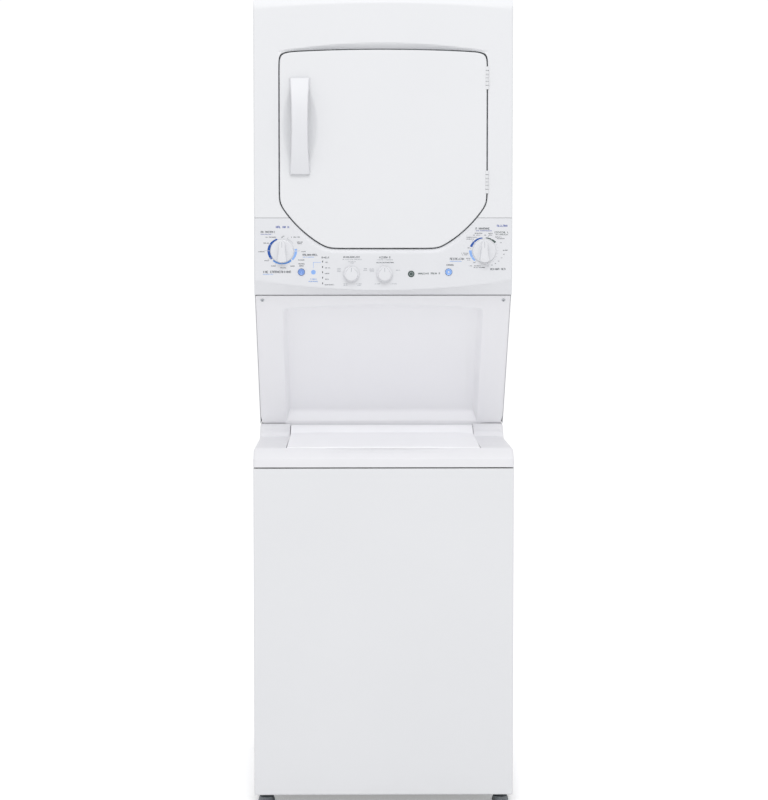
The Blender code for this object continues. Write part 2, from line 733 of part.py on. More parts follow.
def door_inner_panel():
    """The door's liner: a flat back with a shallow plug that fills the drum's mouth."""
    back = DRYER_FACE - DOOR_PROUD + DOOR_THICK
    edge = door_outline(-SHEET - GAP)
    front = back - 0.004
    wall = 0.002
    liner = prism("door_inner_panel", edge, front, front + wall, "Y", "plastic")
    plug = opening_outline(PLUG_R, PLUG_FLOOR)
    nose = opening_outline(PLUG_R - 0.012, PLUG_FLOOR - 0.012)
    tip = back + PLUG_DEEP
    outer = loft("plug", [[(x, front + wall / 2, z) for x, z in plug], [(x, tip, z) for x, z in nose]])
    plug_in = opening_outline(PLUG_R - wall, PLUG_FLOOR - wall)
    nose_in = opening_outline(PLUG_R - 0.012 - wall, PLUG_FLOOR - 0.012 - wall)
    inner = [[(x, front - 0.01, z) for x, z in plug_in], [(x, tip - wall, z) for x, z in nose_in]]
    join(liner, outer)
    cut(liner, loft("plug_hollow", inner))
    for low, high in hinge_spans():
        span = (low - GAP, high + GAP)
        across, deep = (HINGE_X - HINGE_NOTCH - 0.002, HINGE_X + 0.001), (front - 0.01, back + 0.01)
        cut(liner, box("liner_notch", across, deep, span))
    return liner


def door_handle():
    """A bowed bar with slanted sides that bridges the dish, on two feet."""
    face = DRYER_FACE - DOOR_PROUD - GAP
    stations = 12
    loops = []
    for i in range(stations + 1):
        t = 2 * i / stations - 1
        bow = 1 - t * t
        out = face - 0.010 - (HANDLE_OUT - 0.010) * bow
        foot = abs(t) > 0.8
        under = face if foot else out + HANDLE_BAR
        z = HANDLE_Z + t * HANDLE_LONG / 2
        wide = HANDLE_WIDE / 2
        narrow = wide - 0.003 - 0.003 * bow
        section = ((-wide, under), (wide, under), (narrow, out), (-narrow, out))
        loops.append([(HANDLE_X + x, y, z) for x, y in section])
    return loft("door_handle", loops, "plastic")


def door_hinges():
    """Two butt hinges of five knuckles: the fixed leaf has three and the pin, the moving leaf two."""
    knuckle = HINGE_LONG / 5
    pin_r = 0.0018
    depth = DRYER_FACE + 0.017
    for name, (low, high) in zip(("upper", "lower"), hinge_spans()):
        starts = [low + i * knuckle for i in range(5)]
        knuckles = [(start + RUNNING / 2, start + knuckle - RUNNING / 2) for start in starts]
        fixed_x = (HINGE_X + LEAF_INSET, HINGE_X + LEAF_INSET + LEAF_THICK)
        moving_x = (HINGE_X - LEAF_INSET - LEAF_THICK, HINGE_X - LEAF_INSET)
        at, back, turns = (HINGE_X, HINGE_Y), HINGE_Y + HINGE_R + 0.0015, 12
        pin = rod(f"{name}_pin", at, "Z", pin_r, low + 0.001, high - 0.001, steps=turns)
        long = (low + 0.0005, high - 0.0005)
        fixed = box(f"door_hinge_{name}_fixed_leaf", fixed_x, (back, depth), long, "steel")
        moving = box(f"door_hinge_{name}_moving_leaf", moving_x, (back, depth), long, "steel")
        for i, (k0, k1) in enumerate(knuckles):
            leaf, leaf_x = (fixed, fixed_x) if i % 2 == 0 else (moving, moving_x)
            join(leaf, box(f"{name}_tab_{i}", leaf_x, (HINGE_Y, back + 0.002), (k0, k1)))
            if i % 2 == 0:
                join(leaf, rod(f"{name}_knuckle_{i}", at, "Z", HINGE_R, k0, k1, steps=turns))
            else:
                bore = pin_r + RUNNING
                join(leaf, tube(f"{name}_knuckle_{i}", at, "Z", bore, HINGE_R, k0, k1, steps=turns))
                cut(leaf, rod(f"{name}_bore_{i}", at, "Z", bore, k0 - 0.001, k1 + 0.001, steps=turns))
        join(fixed, pin)


# --- the drum, its bulkheads and its drive ----------------------------------------------------------------
LINT_Y = DRYER_FACE + 0.064
LINT_HALF = 0.095
LINT_THICK = 0.008
LINT_BOTTOM = DRUM_Z - OPENING_FLOOR - 0.075
LINT_TRAVEL = 0.085


def flanged_plate(name, edge, rim, mouth, y0, y1, tip, finish):
    """A plate in the XZ plane with a collar round its mouth, standing back from the plate."""
    bm = bmesh.new()

    def ring(points, y):
        return [bm.verts.new((x, y, z)) for x, z in points]

    def skirt(a, b):
        for i in range(len(a)):
            j = (i + 1) % len(a)
            bm.faces.new((a[i], a[j], b[j], b[i]))

    front_edge, back_edge = ring(edge, y0), ring(edge, y1)
    front_mouth, root = ring(mouth, y0), ring(rim, y1)
    rim_tip, mouth_tip = ring(rim, tip), ring(mouth, tip)
    skirt(front_edge, back_edge)
    skirt(root, rim_tip)
    skirt(rim_tip, mouth_tip)
    skirt(mouth_tip, front_mouth)
    for loops in ((front_edge, front_mouth), (back_edge, root)):
        sides = []
        for loop in loops:
            for a, b in zip(loop, loop[1:] + loop[:1]):
                sides.append(bm.edges.get((a, b)) or bm.edges.new((a, b)))
        bmesh.ops.triangle_fill(bm, edges=sides, use_beauty=True, use_dissolve=False)
    return finish_mesh(name, bm, finish)


def drum_front_bulkhead():
    """The wall behind the door: drum mouth, a ring that the drum runs on, and the lint filter's pocket."""
    y0, y1 = BULKHEAD_Y, BULKHEAD_Y + 0.002
    rim = opening_outline(OPENING_R + 0.002, OPENING_FLOOR + 0.002)
    mouth = opening_outline(OPENING_R, OPENING_FLOOR)
    edge = outline(wall_reach, WALL_ANGLES)
    wall = flanged_plate("drum_front_bulkhead", edge, rim, mouth, y0, y1, DRUM_FRONT - 0.006, "steel")
    middle = (y0 + y1) / 2
    ring = tube("drum_ring", (0, DRUM_Z), "Y", RING_R - 0.002, RING_R, middle, DRUM_FRONT + 0.014)
    shell = 0.002
    clear = 0.0008
    half, thick = LINT_HALF + clear, LINT_THICK / 2 + clear
    floor_z = DRUM_Z - OPENING_FLOOR
    pocket = box(
        "lint_pocket",
        (-half - shell, half + shell),
        (LINT_Y - thick - shell, LINT_Y + thick + shell),
        (LINT_BOTTOM - clear - shell, floor_z - 0.0005),
    )
    deep = (LINT_BOTTOM - clear, floor_z + 0.01)
    hollow = box("lint_hollow", (-half, half), (LINT_Y - thick, LINT_Y + thick), deep)
    join(wall, ring, pocket)
    return cut(wall, hollow)


def lint_filter():
    """The screen that lifts out of its pocket, with a finger lip on top."""
    top = DRUM_Z - OPENING_FLOOR + 0.012
    y = (LINT_Y - LINT_THICK / 2, LINT_Y + LINT_THICK / 2)
    frame = box("lint_filter", (-LINT_HALF, LINT_HALF), y, (LINT_BOTTOM, top), "grey")
    edge = 0.010
    window = box(
        "lint_window",
        (-LINT_HALF + edge, LINT_HALF - edge),
        (y[0] + 0.003, y[1] + 0.01),
        (LINT_BOTTOM + edge, top - 0.025),
    )
    return cut(frame, window)


def dryer_drum():
    """The drum's shell with a lip at each end and three lifting vanes."""
    wall = 0.002
    lip = DRUM_R - DRUM_LIP
    profile = [(lip, DRUM_FRONT), (DRUM_R, DRUM_FRONT), (DRUM_R, DRUM_REAR), (lip, DRUM_REAR)]
    profile += [(lip, DRUM_REAR - wall), (DRUM_R - wall, DRUM_REAR - wall)]
    profile += [(DRUM_R - wall, DRUM_FRONT + wall), (lip, DRUM_FRONT + wall)]
    drum = lathe("dryer_drum", profile, (0, DRUM_Z), "Y", "stainless", 40)
    base, tip = math.sqrt((DRUM_R - wall / 2) ** 2 - 0.035 ** 2), DRUM_R - 0.055
    outside = ((base, 0.035), (tip, 0.008))
    inside = ((base - 0.004, 0.0305), (tip + 0.002, 0.0065))
    y0, y1 = DRUM_FRONT + 0.04, DRUM_REAR - 0.04
    for k in range(3):
        angle = math.tau * (k + 0.25) / 3
        c, s = math.cos(angle), math.sin(angle)
        solids = []
        for corners, spare in ((outside, 0), (inside, 0.001)):
            (b, wide), (t, narrow) = corners
            section = [
                (radius * c - side * s, DRUM_Z + radius * s + side * c)
                for radius, side in ((b, -wide), (t, -narrow), (t, narrow), (b, wide))
            ]
            solids.append(prism(f"vane_{k}", section, y0 - spare, y1 + spare, "Y"))
        join(drum, solids[0])
        cut(drum, solids[1])
    return drum


def roller_places():
    """Where the two rollers stand under the drum."""
    reach = DRUM_R + ROLLER_R + RUNNING
    return [(s * reach * math.sin(ROLLER_ANGLE), DRUM_Z - reach * math.cos(ROLLER_ANGLE)) for s in (-1, 1)]


ROLLER_Y = (DRUM_REAR - 0.034, DRUM_REAR - 0.034 + ROLLER_WIDE)


def drum_rear_bulkhead():
    """The wall behind the drum: a ring for the drum, air holes, and the rollers' pins."""
    y0, y1 = REAR_PLATE_Y, REAR_PLATE_Y + 0.002
    plate = rectangle(-INSIDE + 0.004, INSIDE - 0.004, DECK_TOP + GAP, TOTAL_HEIGHT - 0.030)
    holes = []
    for ring, count in ((0.080, 4), (0.155, 8)):
        for cx, cz in circle(0, DRUM_Z, ring, count):
            holes.append(circle(cx, cz, 0.014, 8))
    wall = prism("drum_rear_bulkhead", plate, y0, y1, "Y", "steel", holes)
    ring = tube("rear_ring", (0, DRUM_Z), "Y", RING_R - 0.002, RING_R, DRUM_REAR - 0.014, (y0 + y1) / 2)
    long = (ROLLER_Y[0] - 0.006, (y0 + y1) / 2)
    pins = [rod("roller_pin", at, "Y", AXLE_R, *long, steps=16) for at in roller_places()]
    return join(wall, ring, *pins)


def drum_rollers():
    """Two rubber-tyred rollers that carry the drum's rear."""
    for side, at in zip(("left", "right"), roller_places()):
        tube(f"drum_roller_{side}", at, "Y", AXLE_R + RUNNING, ROLLER_R, *ROLLER_Y, finish="grey", steps=24)


def belt_runs(first, second):
    """The heading from one pulley to the other, and how far each straight run leaves it."""
    (at, radius), (other_at, other_radius) = first, second
    between = Vector(other_at) - Vector(at)
    return math.atan2(between.y, between.x), math.acos((radius - other_radius) / between.length)


def belt_loop(first, second, lift):
    """The outline of a belt's inner or outer face round two pulleys, each a centre and a radius."""
    heading, spread = belt_runs(first, second)
    points = []
    for (at, radius), start, sweep, steps in (
        (first, heading + spread, math.tau - 2 * spread, 36),
        (second, heading - spread, 2 * spread, 8),
    ):
        clear = (radius + lift) / math.cos(sweep / steps / 2)
        for i in range(steps + 1):
            angle = start + sweep * i / steps
            points.append((at[0] + clear * math.cos(angle), at[1] + clear * math.sin(angle)))
    return points


DRUM_RUN = (((0, DRUM_Z), DRUM_R), ((BLOWER_X, BLOWER_Z), PULLEY_R))


def drum_belt():
    """The flat belt round the drum and the motor's pulley."""
    y = (BELT_Y - BELT_WIDE / 2, BELT_Y + BELT_WIDE / 2)
    inner, outer = belt_loop(*DRUM_RUN, RUNNING), belt_loop(*DRUM_RUN, RUNNING + BELT_THICK)
    return prism("drum_belt", outer, *y, "Y", "rubber", [inner])


def idler_place():
    """The idler's centre, just outside the belt's upper run."""
    heading, spread = belt_runs(*DRUM_RUN)
    out = Vector((math.cos(heading - spread), math.sin(heading - spread)))
    start, end = [Vector(at) + out * radius for at, radius in DRUM_RUN]
    near = start.lerp(end, 0.62)
    return tuple(near + out * (RUNNING * 3 + BELT_THICK + IDLER_R))


def idler_pulley():
    """The small pulley that keeps the belt tight."""
    y = (BELT_Y - 0.006, BELT_Y + 0.006)
    return tube("idler_pulley", idler_place(), "Y", 0.004 + RUNNING, IDLER_R, *y, finish="grey", steps=20)


def dryer_motor():
    """The drive motor on its foot, with the arm and pin that hold the idler."""
    axis = (BLOWER_X, BLOWER_Z)
    y0 = BLOWER_Y + BLOWER_LONG + 0.020
    y1 = BELT_Y - 0.026
    bell = 0.012
    bore = AXLE_R + RUNNING
    profile = [(bore, y0), (MOTOR_R * 0.6, y0), (MOTOR_R, y0 + bell)]
    profile += [(MOTOR_R, y1 - bell), (MOTOR_R * 0.6, y1), (bore, y1)]
    motor = lathe("dryer_motor", profile, axis, "Y", "steel", 20)
    x, y = (BLOWER_X - 0.035, BLOWER_X + 0.035), (y0 + 0.02, y1 - 0.02)
    foot = box("motor_foot", x, y, (DECK_TOP + GAP, BLOWER_Z - MOTOR_R * 0.7))
    ix, iz = idler_place()
    arm_y = (y1 - 0.024, y1 - 0.018)
    toward = Vector((ix - BLOWER_X, iz - BLOWER_Z))
    side = Vector((-toward.y, toward.x)).normalized() * 0.008
    root = Vector(axis) + toward.normalized() * (MOTOR_R * 0.75)
    tip = Vector((ix, iz)) + toward.normalized() * 0.006
    arm = [tuple(root - side), tuple(tip - side), tuple(tip + side), tuple(root + side)]
    pin = rod("idler_pin", (ix, iz), "Y", 0.004, arm_y[0] + 0.002, BELT_Y + 0.008, steps=12)
    return join(motor, foot, prism("idler_arm", arm, *arm_y, "Y"), pin)


def blower_wheel():
    """The rotor: motor shaft, belt pulley and fan wheel in one turning piece."""
    y0, y1 = BLOWER_Y + 0.008, BLOWER_Y + BLOWER_LONG - 0.010
    shaft_end = BELT_Y + 0.010
    hub, tip = AXLE_R + 0.006, BLOWER_R - 0.012
    profile = [(0, y0), (hub, y0), (hub, y1 - 0.003), (tip, y1 - 0.003), (tip, y1), (AXLE_R, y1)]
    profile += [(AXLE_R, BELT_Y - 0.010), (PULLEY_R, BELT_Y - 0.009), (PULLEY_R, BELT_Y + 0.009)]
    profile += [(AXLE_R, shaft_end), (0, shaft_end)]
    wheel = lathe("blower_wheel", profile, (BLOWER_X, BLOWER_Z), "Y", "grey", 20)
    blades = 6
    for k in range(blades):
        angle = math.tau * (k + 0.21) / blades
        c, s = math.cos(angle), math.sin(angle)
        section = []
        for radius, side in rectangle(hub - 0.002, tip - 0.002, -0.001, 0.001):
            section.append((BLOWER_X + radius * c - side * s, BLOWER_Z + radius * s + side * c))
        join(wheel, prism(f"blade_{k}", section, y0 + 0.004, y1 - 0.0015, "Y"))
    return wheel


def blower_housing():
    """The fan's casing, with an inlet in front and an outlet down through the deck."""
    y0, y1 = BLOWER_Y, BLOWER_Y + BLOWER_LONG
    wall = 0.002
    outer, inner = BLOWER_R, BLOWER_R - wall
    eye, hole = 0.034, AXLE_R + 0.003
    profile = [(eye, y0), (outer, y0), (outer, y1), (hole, y1), (hole, y1 - wall)]
    profile += [(inner, y1 - wall), (inner, y0 + wall), (eye, y0 + wall)]
    housing = lathe("blower_housing", profile, (BLOWER_X, BLOWER_Z), "Y", "grey", 24)
    half = 0.030
    x, y = (BLOWER_X - half, BLOWER_X + half), (y0 + 0.008, y1 - 0.008)
    chute = box("outlet_chute", x, y, (DECK_Z - 0.008, BLOWER_Z - outer + 0.012))
    inside = box(
        "outlet_hollow",
        (x[0] + wall, x[1] - wall),
        (y[0] + wall, y[1] - wall),
        (DECK_Z - MARGIN, BLOWER_Z - inner * 0.75),
    )
    return cut(join(housing, chute), inside)


def exhaust_duct():
    """The duct from the blower's outlet to the collar behind the cabinet."""
    wall = 0.0015
    front, back = BLOWER_Y - 0.004, Y_BACK + COLLAR_OUT
    outer, inner = EXHAUST_R, EXHAUST_R - wall
    profile = [(0, front), (outer, front), (outer, back), (inner, back)]
    profile += [(inner, front + wall), (0, front + wall)]
    duct = lathe("exhaust_duct", profile, (BLOWER_X, EXHAUST_Z), "Y", "steel", 28)
    half = 0.034
    seat = EXHAUST_Z + math.sqrt(inner ** 2 - half ** 2) + wall / 2
    y = (BLOWER_Y + 0.004, BLOWER_Y + BLOWER_LONG - 0.004)
    riser = box("duct_riser", (BLOWER_X - half, BLOWER_X + half), y, (seat, DECK_Z - GAP))
    inside = box(
        "riser_bore",
        (BLOWER_X - half + wall, BLOWER_X + half - wall),
        (y[0] + wall, y[1] - wall),
        (EXHAUST_Z + 0.015, DECK_Z + MARGIN),
    )
    return cut(join(duct, riser), inside)


def dryer_deck():
    """The dryer's floor, with the blower's outlet through it."""
    floor = rectangle(-INSIDE, INSIDE, DRYER_FACE + 0.032, Y_BACK - SHEET - GAP)
    half = 0.031
    hole = rectangle(BLOWER_X - half, BLOWER_X + half, BLOWER_Y + 0.007, BLOWER_Y + BLOWER_LONG - 0.007)
    return prism("dryer_deck", floor, DECK_Z, DECK_TOP, "Z", "steel", [hole])


def heater_box():
    """The housing behind the drum that holds the heating coil, open towards the air holes."""
    y0, y1 = REAR_PLATE_Y + 0.002 + GAP, Y_BACK - SHEET - 0.004
    half = 0.205
    case = box("heater_box", (-half, half), (y0, y1), (DRUM_Z - half, DRUM_Z + half), "steel")
    room, low = half - SHEET, DRUM_Z - half
    hollow = box("heater_hollow", (-room, room), (y0 - 0.01, y1 - SHEET), (DRUM_Z - room, DRUM_Z + room))
    inlet = box("heater_inlet", (-0.06, 0.06), (y0 + 0.015, y1 - 0.015), (low - 0.01, low + 0.01))
    return cut(case, hollow, inlet)


# --- controls -----------------------------------------------------------------------------------------
PANEL_BACK = DRYER_FACE + 0.0025
TIMER_Y = (PANEL_BACK + 0.0095, PANEL_BACK + 0.046)


def grip(name, x, z, foot, narrow, y0, y1):
    """A tapered grip on a knob's face."""
    low = [(x + u, y0, z + v) for u, v in foot]
    high = [(x + u * narrow, y1, z + v * 0.95) for u, v in foot]
    return loft(name, [low, high])


def cycle_knobs():
    """The two large timer knobs: a disc, a bar grip and a stem."""
    for name, side in (("washer_cycle_knob", -1), ("dryer_cycle_knob", 1)):
        x, r = side * CYCLE_X, CYCLE_R
        y = DRYER_FACE - 0.001
        profile = [(0, TIMER_Y[0] - GAP), (STEM_R, TIMER_Y[0] - GAP), (STEM_R, y), (r, y), (r, y - 0.005)]
        profile += [(r - 0.002, y - 0.008), (0, y - 0.009)]
        knob = lathe(name, profile, (x, CYCLE_Z), "Y", "plastic", 28)
        right = [(0.009, -0.0255), (0.010, 0.0), (0.009, 0.0245)]
        bar = right + [(-u, v) for u, v in right[::-1]]
        join(knob, grip(name + "_grip", x, CYCLE_Z, bar, 0.62, y - 0.006, y - CYCLE_OUT))


def selector_knobs():
    """The two small selector knobs: a disc and a teardrop grip."""
    names = ("temperature_knob", "load_size_knob")
    for name, x in zip(names, SELECTOR_X):
        y = DRYER_FACE - 0.001
        profile = [(0, TIMER_Y[0] - GAP), (STEM_R, TIMER_Y[0] - GAP), (STEM_R, y), (SELECTOR_R, y)]
        profile += [(SELECTOR_R, y - 0.004), (SELECTOR_R - 0.0015, y - 0.006), (0, y - 0.0065)]
        knob = lathe(name, profile, (x, SELECTOR_Z), "Y", "plastic", 24)
        r = SELECTOR_R * 0.90
        drop = [(r * math.cos(a), r * math.sin(a)) for a in [math.radians(200 + 20 * i) for i in range(8)]]
        drop += [(r * 0.30, r * 1.02), (-r * 0.30, r * 1.02)]
        join(knob, grip(name + "_grip", x, SELECTOR_Z, drop, 0.86, y - 0.005, y - SELECTOR_OUT))


def push_buttons():
    """Two round push buttons with a flange behind the fascia."""
    for name, x in (("extra_rinse_button", RINSE_X), ("start_button", START_X)):
        y = DRYER_FACE
        back = PANEL_BACK + GAP + 0.0015
        flange, face = back - 0.0015, y - BUTTON_OUT
        profile = [(0, back), (BUTTON_R + 0.002, back), (BUTTON_R + 0.002, flange), (BUTTON_R, flange)]
        profile += [(BUTTON_R, face + 0.001), (BUTTON_R - 0.001, face), (0, face - 0.0003)]
        lathe(name, profile, (x, BUTTON_Z), "Y", "button", 20)


def cycle_timers():
    """The two timers behind the large knobs."""
    for name, side in (("washer_timer", -1), ("dryer_timer", 1)):
        x, half = side * CYCLE_X, TIMER_HALF
        deep, high = (TIMER_Y[0], TIMER_Y[1] - 0.012), (CYCLE_Z - half, CYCLE_Z + half)
        case = box(name, (x - half, x + half), deep, high, "grey")
        join(case, rod(name + "_motor", (x, CYCLE_Z), "Y", 0.020, TIMER_Y[0] + 0.01, TIMER_Y[1], steps=20))


def control_board():
    """The board behind the fascia: both selector switches and five light pipes."""
    y0, y1 = TIMER_Y[0] + 0.004, TIMER_Y[0] + 0.0056
    across, high = (LENS_X - 0.015, SELECTOR_X[1] + 0.025), (SELECTOR_Z - 0.030, LENS_Z[0] + 0.006)
    board = box("control_board", across, (y0, y1), high, "grey")
    half = 0.011
    for x in SELECTOR_X:
        high = (SELECTOR_Z - half, SELECTOR_Z + half)
        join(board, box("switch", (x - half, x + half), (TIMER_Y[0], y1 + 0.010), high))
    w, h = LENS_SIZE[0] / 2, LENS_SIZE[1] / 2
    deep = (DRYER_FACE - 0.0004, y0 + 0.0008)
    for z in LENS_Z:
        join(board, box("light_pipe", (LENS_X - w, LENS_X + w), deep, (z - h, z + h)))
    return board


# --- tub, basket, agitator and their drive ------------------------------------------------------------
def outer_tub():
    """The tub that holds the water, with a square flange that the struts carry."""
    r, t = TUB_R, TUB_WALL
    bore, low = SHAFT_R + 0.002, TUB_BOTTOM
    profile = [(bore, low), (r - 0.02, low), (r, low + 0.02), (r, TUB_TOP), (r - t, TUB_TOP)]
    profile += [(r - t, low + 0.022), (r - 0.022, low + t), (bore, low + t)]
    tub = lathe("outer_tub", profile, (0, TUB_Y), "Z", "tub")
    reach, chamfer = TUB_R + 0.013, 0.05
    corner = reach - chamfer
    flange = [(-reach, -corner), (-corner, -reach), (corner, -reach), (reach, -corner)]
    flange += [(reach, corner), (corner, reach), (-corner, reach), (-reach, corner)]
    flange = [(x, y + TUB_Y) for x, y in flange]
    eyes = [circle(x, y, 0.009, 8) for x, y in STRUTS]
    holes = [circle(0, TUB_Y, r - t / 2, LATHE_STEPS), *eyes]
    plate = prism("tub_flange", flange, EAR_Z, EAR_Z + 0.006, "Z", None, holes)
    return join(tub, plate)


def tub_cover():
    """The ring on the tub's rim that keeps water in."""
    r, z = TUB_R, TUB_TOP + GAP
    mouth = BASKET_R - 0.026
    profile = [(mouth, z + 0.016), (mouth, z + 0.013), (r - 0.012, z), (r + 0.003, z)]
    profile += [(r + 0.003, z + 0.004), (r - 0.010, z + 0.004)]
    return lathe("tub_cover", profile, (0, TUB_Y), "Z", "tub")


def wash_basket():
    """The spin basket, with its hub and the balance ring moulded to its rim."""
    r, t = BASKET_R, 0.002
    z0, z1 = BASKET_BOTTOM, BASKET_TOP
    bore = SHAFT_R + RUNNING
    profile = [(bore, z0), (r - 0.015, z0), (r, z0 + 0.015), (r, z1), (r - BALANCE_RING, z1)]
    profile += [(r - BALANCE_RING, z1 - 0.034), (r - t, z1 - 0.038), (r - t, z0 + 0.016)]
    profile += [(r - 0.016, z0 + t), (0.040, z0 + t), (0.024, z0 + 0.045), (bore, z0 + 0.045)]
    return lathe("wash_basket", profile, (0, TUB_Y), "Z", "tub", 32)


def agitator():
    """A hollow post that flares to a skirt, with four vanes and a cap."""
    z0, z1 = BASKET_BOTTOM + 0.012, AGITATOR_TOP
    skirt, wall = AGITATOR_SKIRT, 0.003
    outer = [(0, z1 + 0.012), (0.030, z1 + 0.008), (0.036, z1), (0.042, z1 - 0.12), (0.050, z0 + 0.11)]
    outer += [(0.075, z0 + 0.055), (skirt - 0.045, z0 + 0.025), (skirt, z0 + 0.008), (skirt, z0)]
    inner = [(skirt - wall, z0), (skirt - wall, z0 + 0.005), (skirt - 0.047, z0 + 0.021), (0.072, z0 + 0.051)]
    inner += [(0.046, z0 + 0.108), (0.038, z1 - 0.12), (0.032, z1 - 0.004), (0, z1)]
    post = lathe("agitator", outer + inner, (0, TUB_Y), "Z", "tub", 24)
    shape = [(0.0435, z1 - 0.16), (0.060, z1 - 0.19), (0.072, z0 + 0.12), (skirt - 0.015, z0 + 0.022)]
    shape += [(skirt - 0.015, z0 + 0.0095), (skirt - 0.0445, z0 + 0.023), (0.0735, z0 + 0.053), (0.048, z0 + 0.109)]
    for k in range(4):
        angle = math.tau * (k + 0.5) / 4
        c, s = math.cos(angle), math.sin(angle)
        blade = []
        for side in (-0.003, 0.003):
            blade.append([(radius * c - side * s, TUB_Y + radius * s + side * c, z) for radius, z in shape])
        join(post, loft(f"agitator_vane_{k}", blade))
    return post


def gearcase():
    """The drive housing under the tub, with the plate that carries the motor."""
    z0, z1 = DRIVE_Z + 0.030, TUB_BOTTOM - GAP
    bore = SHAFT_R + RUNNING
    case = tube("gearcase", (0, TUB_Y), "Z", bore, 0.068, z0, z1, "cast", 24)
    mx, my = WASHER_MOTOR
    shape = [(-0.09, TUB_Y - 0.06), (0.05, TUB_Y - 0.09), (mx + 0.05, my - 0.04)]
    shape += [(mx + 0.05, my + 0.05), (mx - 0.06, my + 0.05), (-0.09, TUB_Y + 0.05)]
    hole = circle(0, TUB_Y, 0.055, 24)
    plate = prism("motor_plate", shape, z1 - 0.005, z1 - 0.001, "Z", None, [hole])
    return join(case, plate)


def washer_motor():
    """The washer's motor, hung from the gearcase's plate."""
    z0, z1 = DRIVE_Z + 0.025, TUB_BOTTOM - 0.006 - GAP
    bore = AXLE_R + RUNNING
    profile = [(bore, z0), (0.040, z0), (0.056, z0 + 0.012), (0.056, z1 - 0.012), (0.040, z1), (bore, z1)]
    return lathe("washer_motor", profile, WASHER_MOTOR, "Z", "steel", 20)


def drive_pulleys():
    """The pulley and shaft that turn the basket, and the pulley on the motor's shaft."""
    z0, z1 = DRIVE_Z, DRIVE_Z + 0.016
    top = BASKET_BOTTOM + 0.090
    r = DRIVE_PULLEY_R
    profile = [(0, z0), (0.020, z0), (r, z0), (r - GROOVE, z0 + 0.008), (r, z1)]
    profile += [(0.020, z1), (SHAFT_R, z1 + 0.004), (SHAFT_R, top), (0, top)]
    lathe("washer_drive_pulley", profile, (0, TUB_Y), "Z", "steel", 24)
    top = TUB_BOTTOM - 0.012
    r = MOTOR_PULLEY_R
    profile = [(0, z0), (r, z0), (r - GROOVE, z0 + 0.008), (r, z1), (AXLE_R, z1 + 0.002)]
    lathe("washer_motor_pulley", profile + [(AXLE_R, top), (0, top)], WASHER_MOTOR, "Z", "steel", 16)


def washer_drive_belt():
    """The V belt in the grooves of the two drive pulleys."""
    middle = DRIVE_Z + 0.008
    groove = GROOVE * (1 - GROOVE_BELT / 0.008)
    runs = (((0, TUB_Y), DRIVE_PULLEY_R - groove), (WASHER_MOTOR, MOTOR_PULLEY_R - groove))
    inner, outer = belt_loop(*runs, RUNNING), belt_loop(*runs, RUNNING + 0.005)
    z = (middle - GROOVE_BELT, middle + GROOVE_BELT)
    return prism("washer_drive_belt", outer, *z, "Z", "rubber", [inner])


def suspension_struts():
    """Four hanging rods, each with a stop on top and a spring cup below the tub's flange."""
    low = EAR_Z - 0.062
    seat = low + 0.012
    profile = [(0, low), (0.012, low), (0.016, low + 0.006), (0.016, seat), (0.004, seat)]
    profile += [(0.004, STRUT_TOP - 0.005), (0.009, STRUT_TOP - 0.005), (0.009, STRUT_TOP), (0, STRUT_TOP)]
    for i, at in enumerate(STRUTS):
        side = "left" if i < 2 else "right"
        depth = "front" if i % 2 == 0 else "rear"
        lathe(f"suspension_strut_{depth}_{side}", profile, at, "Z", "steel", 12)


def drain_pump():
    """The pump on the base, with its outlet."""
    x, y = 0.225, Y_FRONT + 0.075
    z = FOOT_HEIGHT + CHANNEL_HIGH + GAP
    profile = [(0, z), (0.040, z), (0.040, z + 0.035), (0.030, z + 0.042), (0.030, z + 0.085), (0, z + 0.085)]
    body = lathe("drain_pump", profile, (x, y), "Z", "grey", 24)
    return join(body, rod("pump_outlet", (y, z + 0.018), "X", 0.011, x - 0.075, x - 0.02, steps=16))


def water_valve():
    """The inlet valve on the back wall, with two hose ports that pass through it."""
    x0, x1 = VALVE_X[0] - 0.018, VALVE_X[1] + 0.018
    y1 = Y_BACK - SHEET - GAP
    body = box("water_valve", (x0, x1), (y1 - 0.030, y1), (VALVE_Z - 0.020, VALVE_Z + 0.020), "grey")
    for x in VALVE_X:
        join(body, rod("hose_port", (x, VALVE_Z), "Y", PORT_R, y1 - 0.02, Y_BACK + 0.016))
        cut(body, rod("port_bore", (x, VALVE_Z), "Y", PORT_R - 0.004, y1 - 0.015, Y_BACK + MARGIN + 0.01))
    return body


def build():
    """Clears the scene and makes every piece."""
    for obj in list(bpy.data.objects):
        bpy.data.objects.remove(obj, do_unlink=True)
    FINISH.update(materials())
    base_frame()
    leveling_feet()
    washer_cabinet()
    washer_front_panel()
    washer_top_cover()
    washer_lid()
    lid_hinge_rod()
    sloping_panel()
    upper_cabinet()
    dryer_top_panel()
    dryer_front_panel()
    control_panel()
    door_outer_panel()
    door_inner_panel()
    door_handle()
    door_hinges()
    drum_front_bulkhead()
    lint_filter()
    dryer_drum()
    drum_rear_bulkhead()
    drum_rollers()
    drum_belt()
    idler_pulley()
    dryer_motor()
    blower_wheel()
    blower_housing()
    exhaust_duct()
    dryer_deck()
    heater_box()
    cycle_knobs()
    selector_knobs()
    push_buttons()
    cycle_timers()
    control_board()
    outer_tub()
    tub_cover()
    wash_basket()
    agitator()
    gearcase()
    washer_motor()
    drive_pulleys()
    washer_drive_belt()
    suspension_struts()
    drain_pump()
    water_valve()


build()
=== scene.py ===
"""Visual model of a stacked laundry centre: a top-loading washer below, a front-loading dryer above."""

import logging
import math
import random
from dataclasses import dataclass, field
from enum import Enum
from typing import Callable, Iterable, Sequence

import bmesh
import bpy
from mathutils import Matrix, Vector


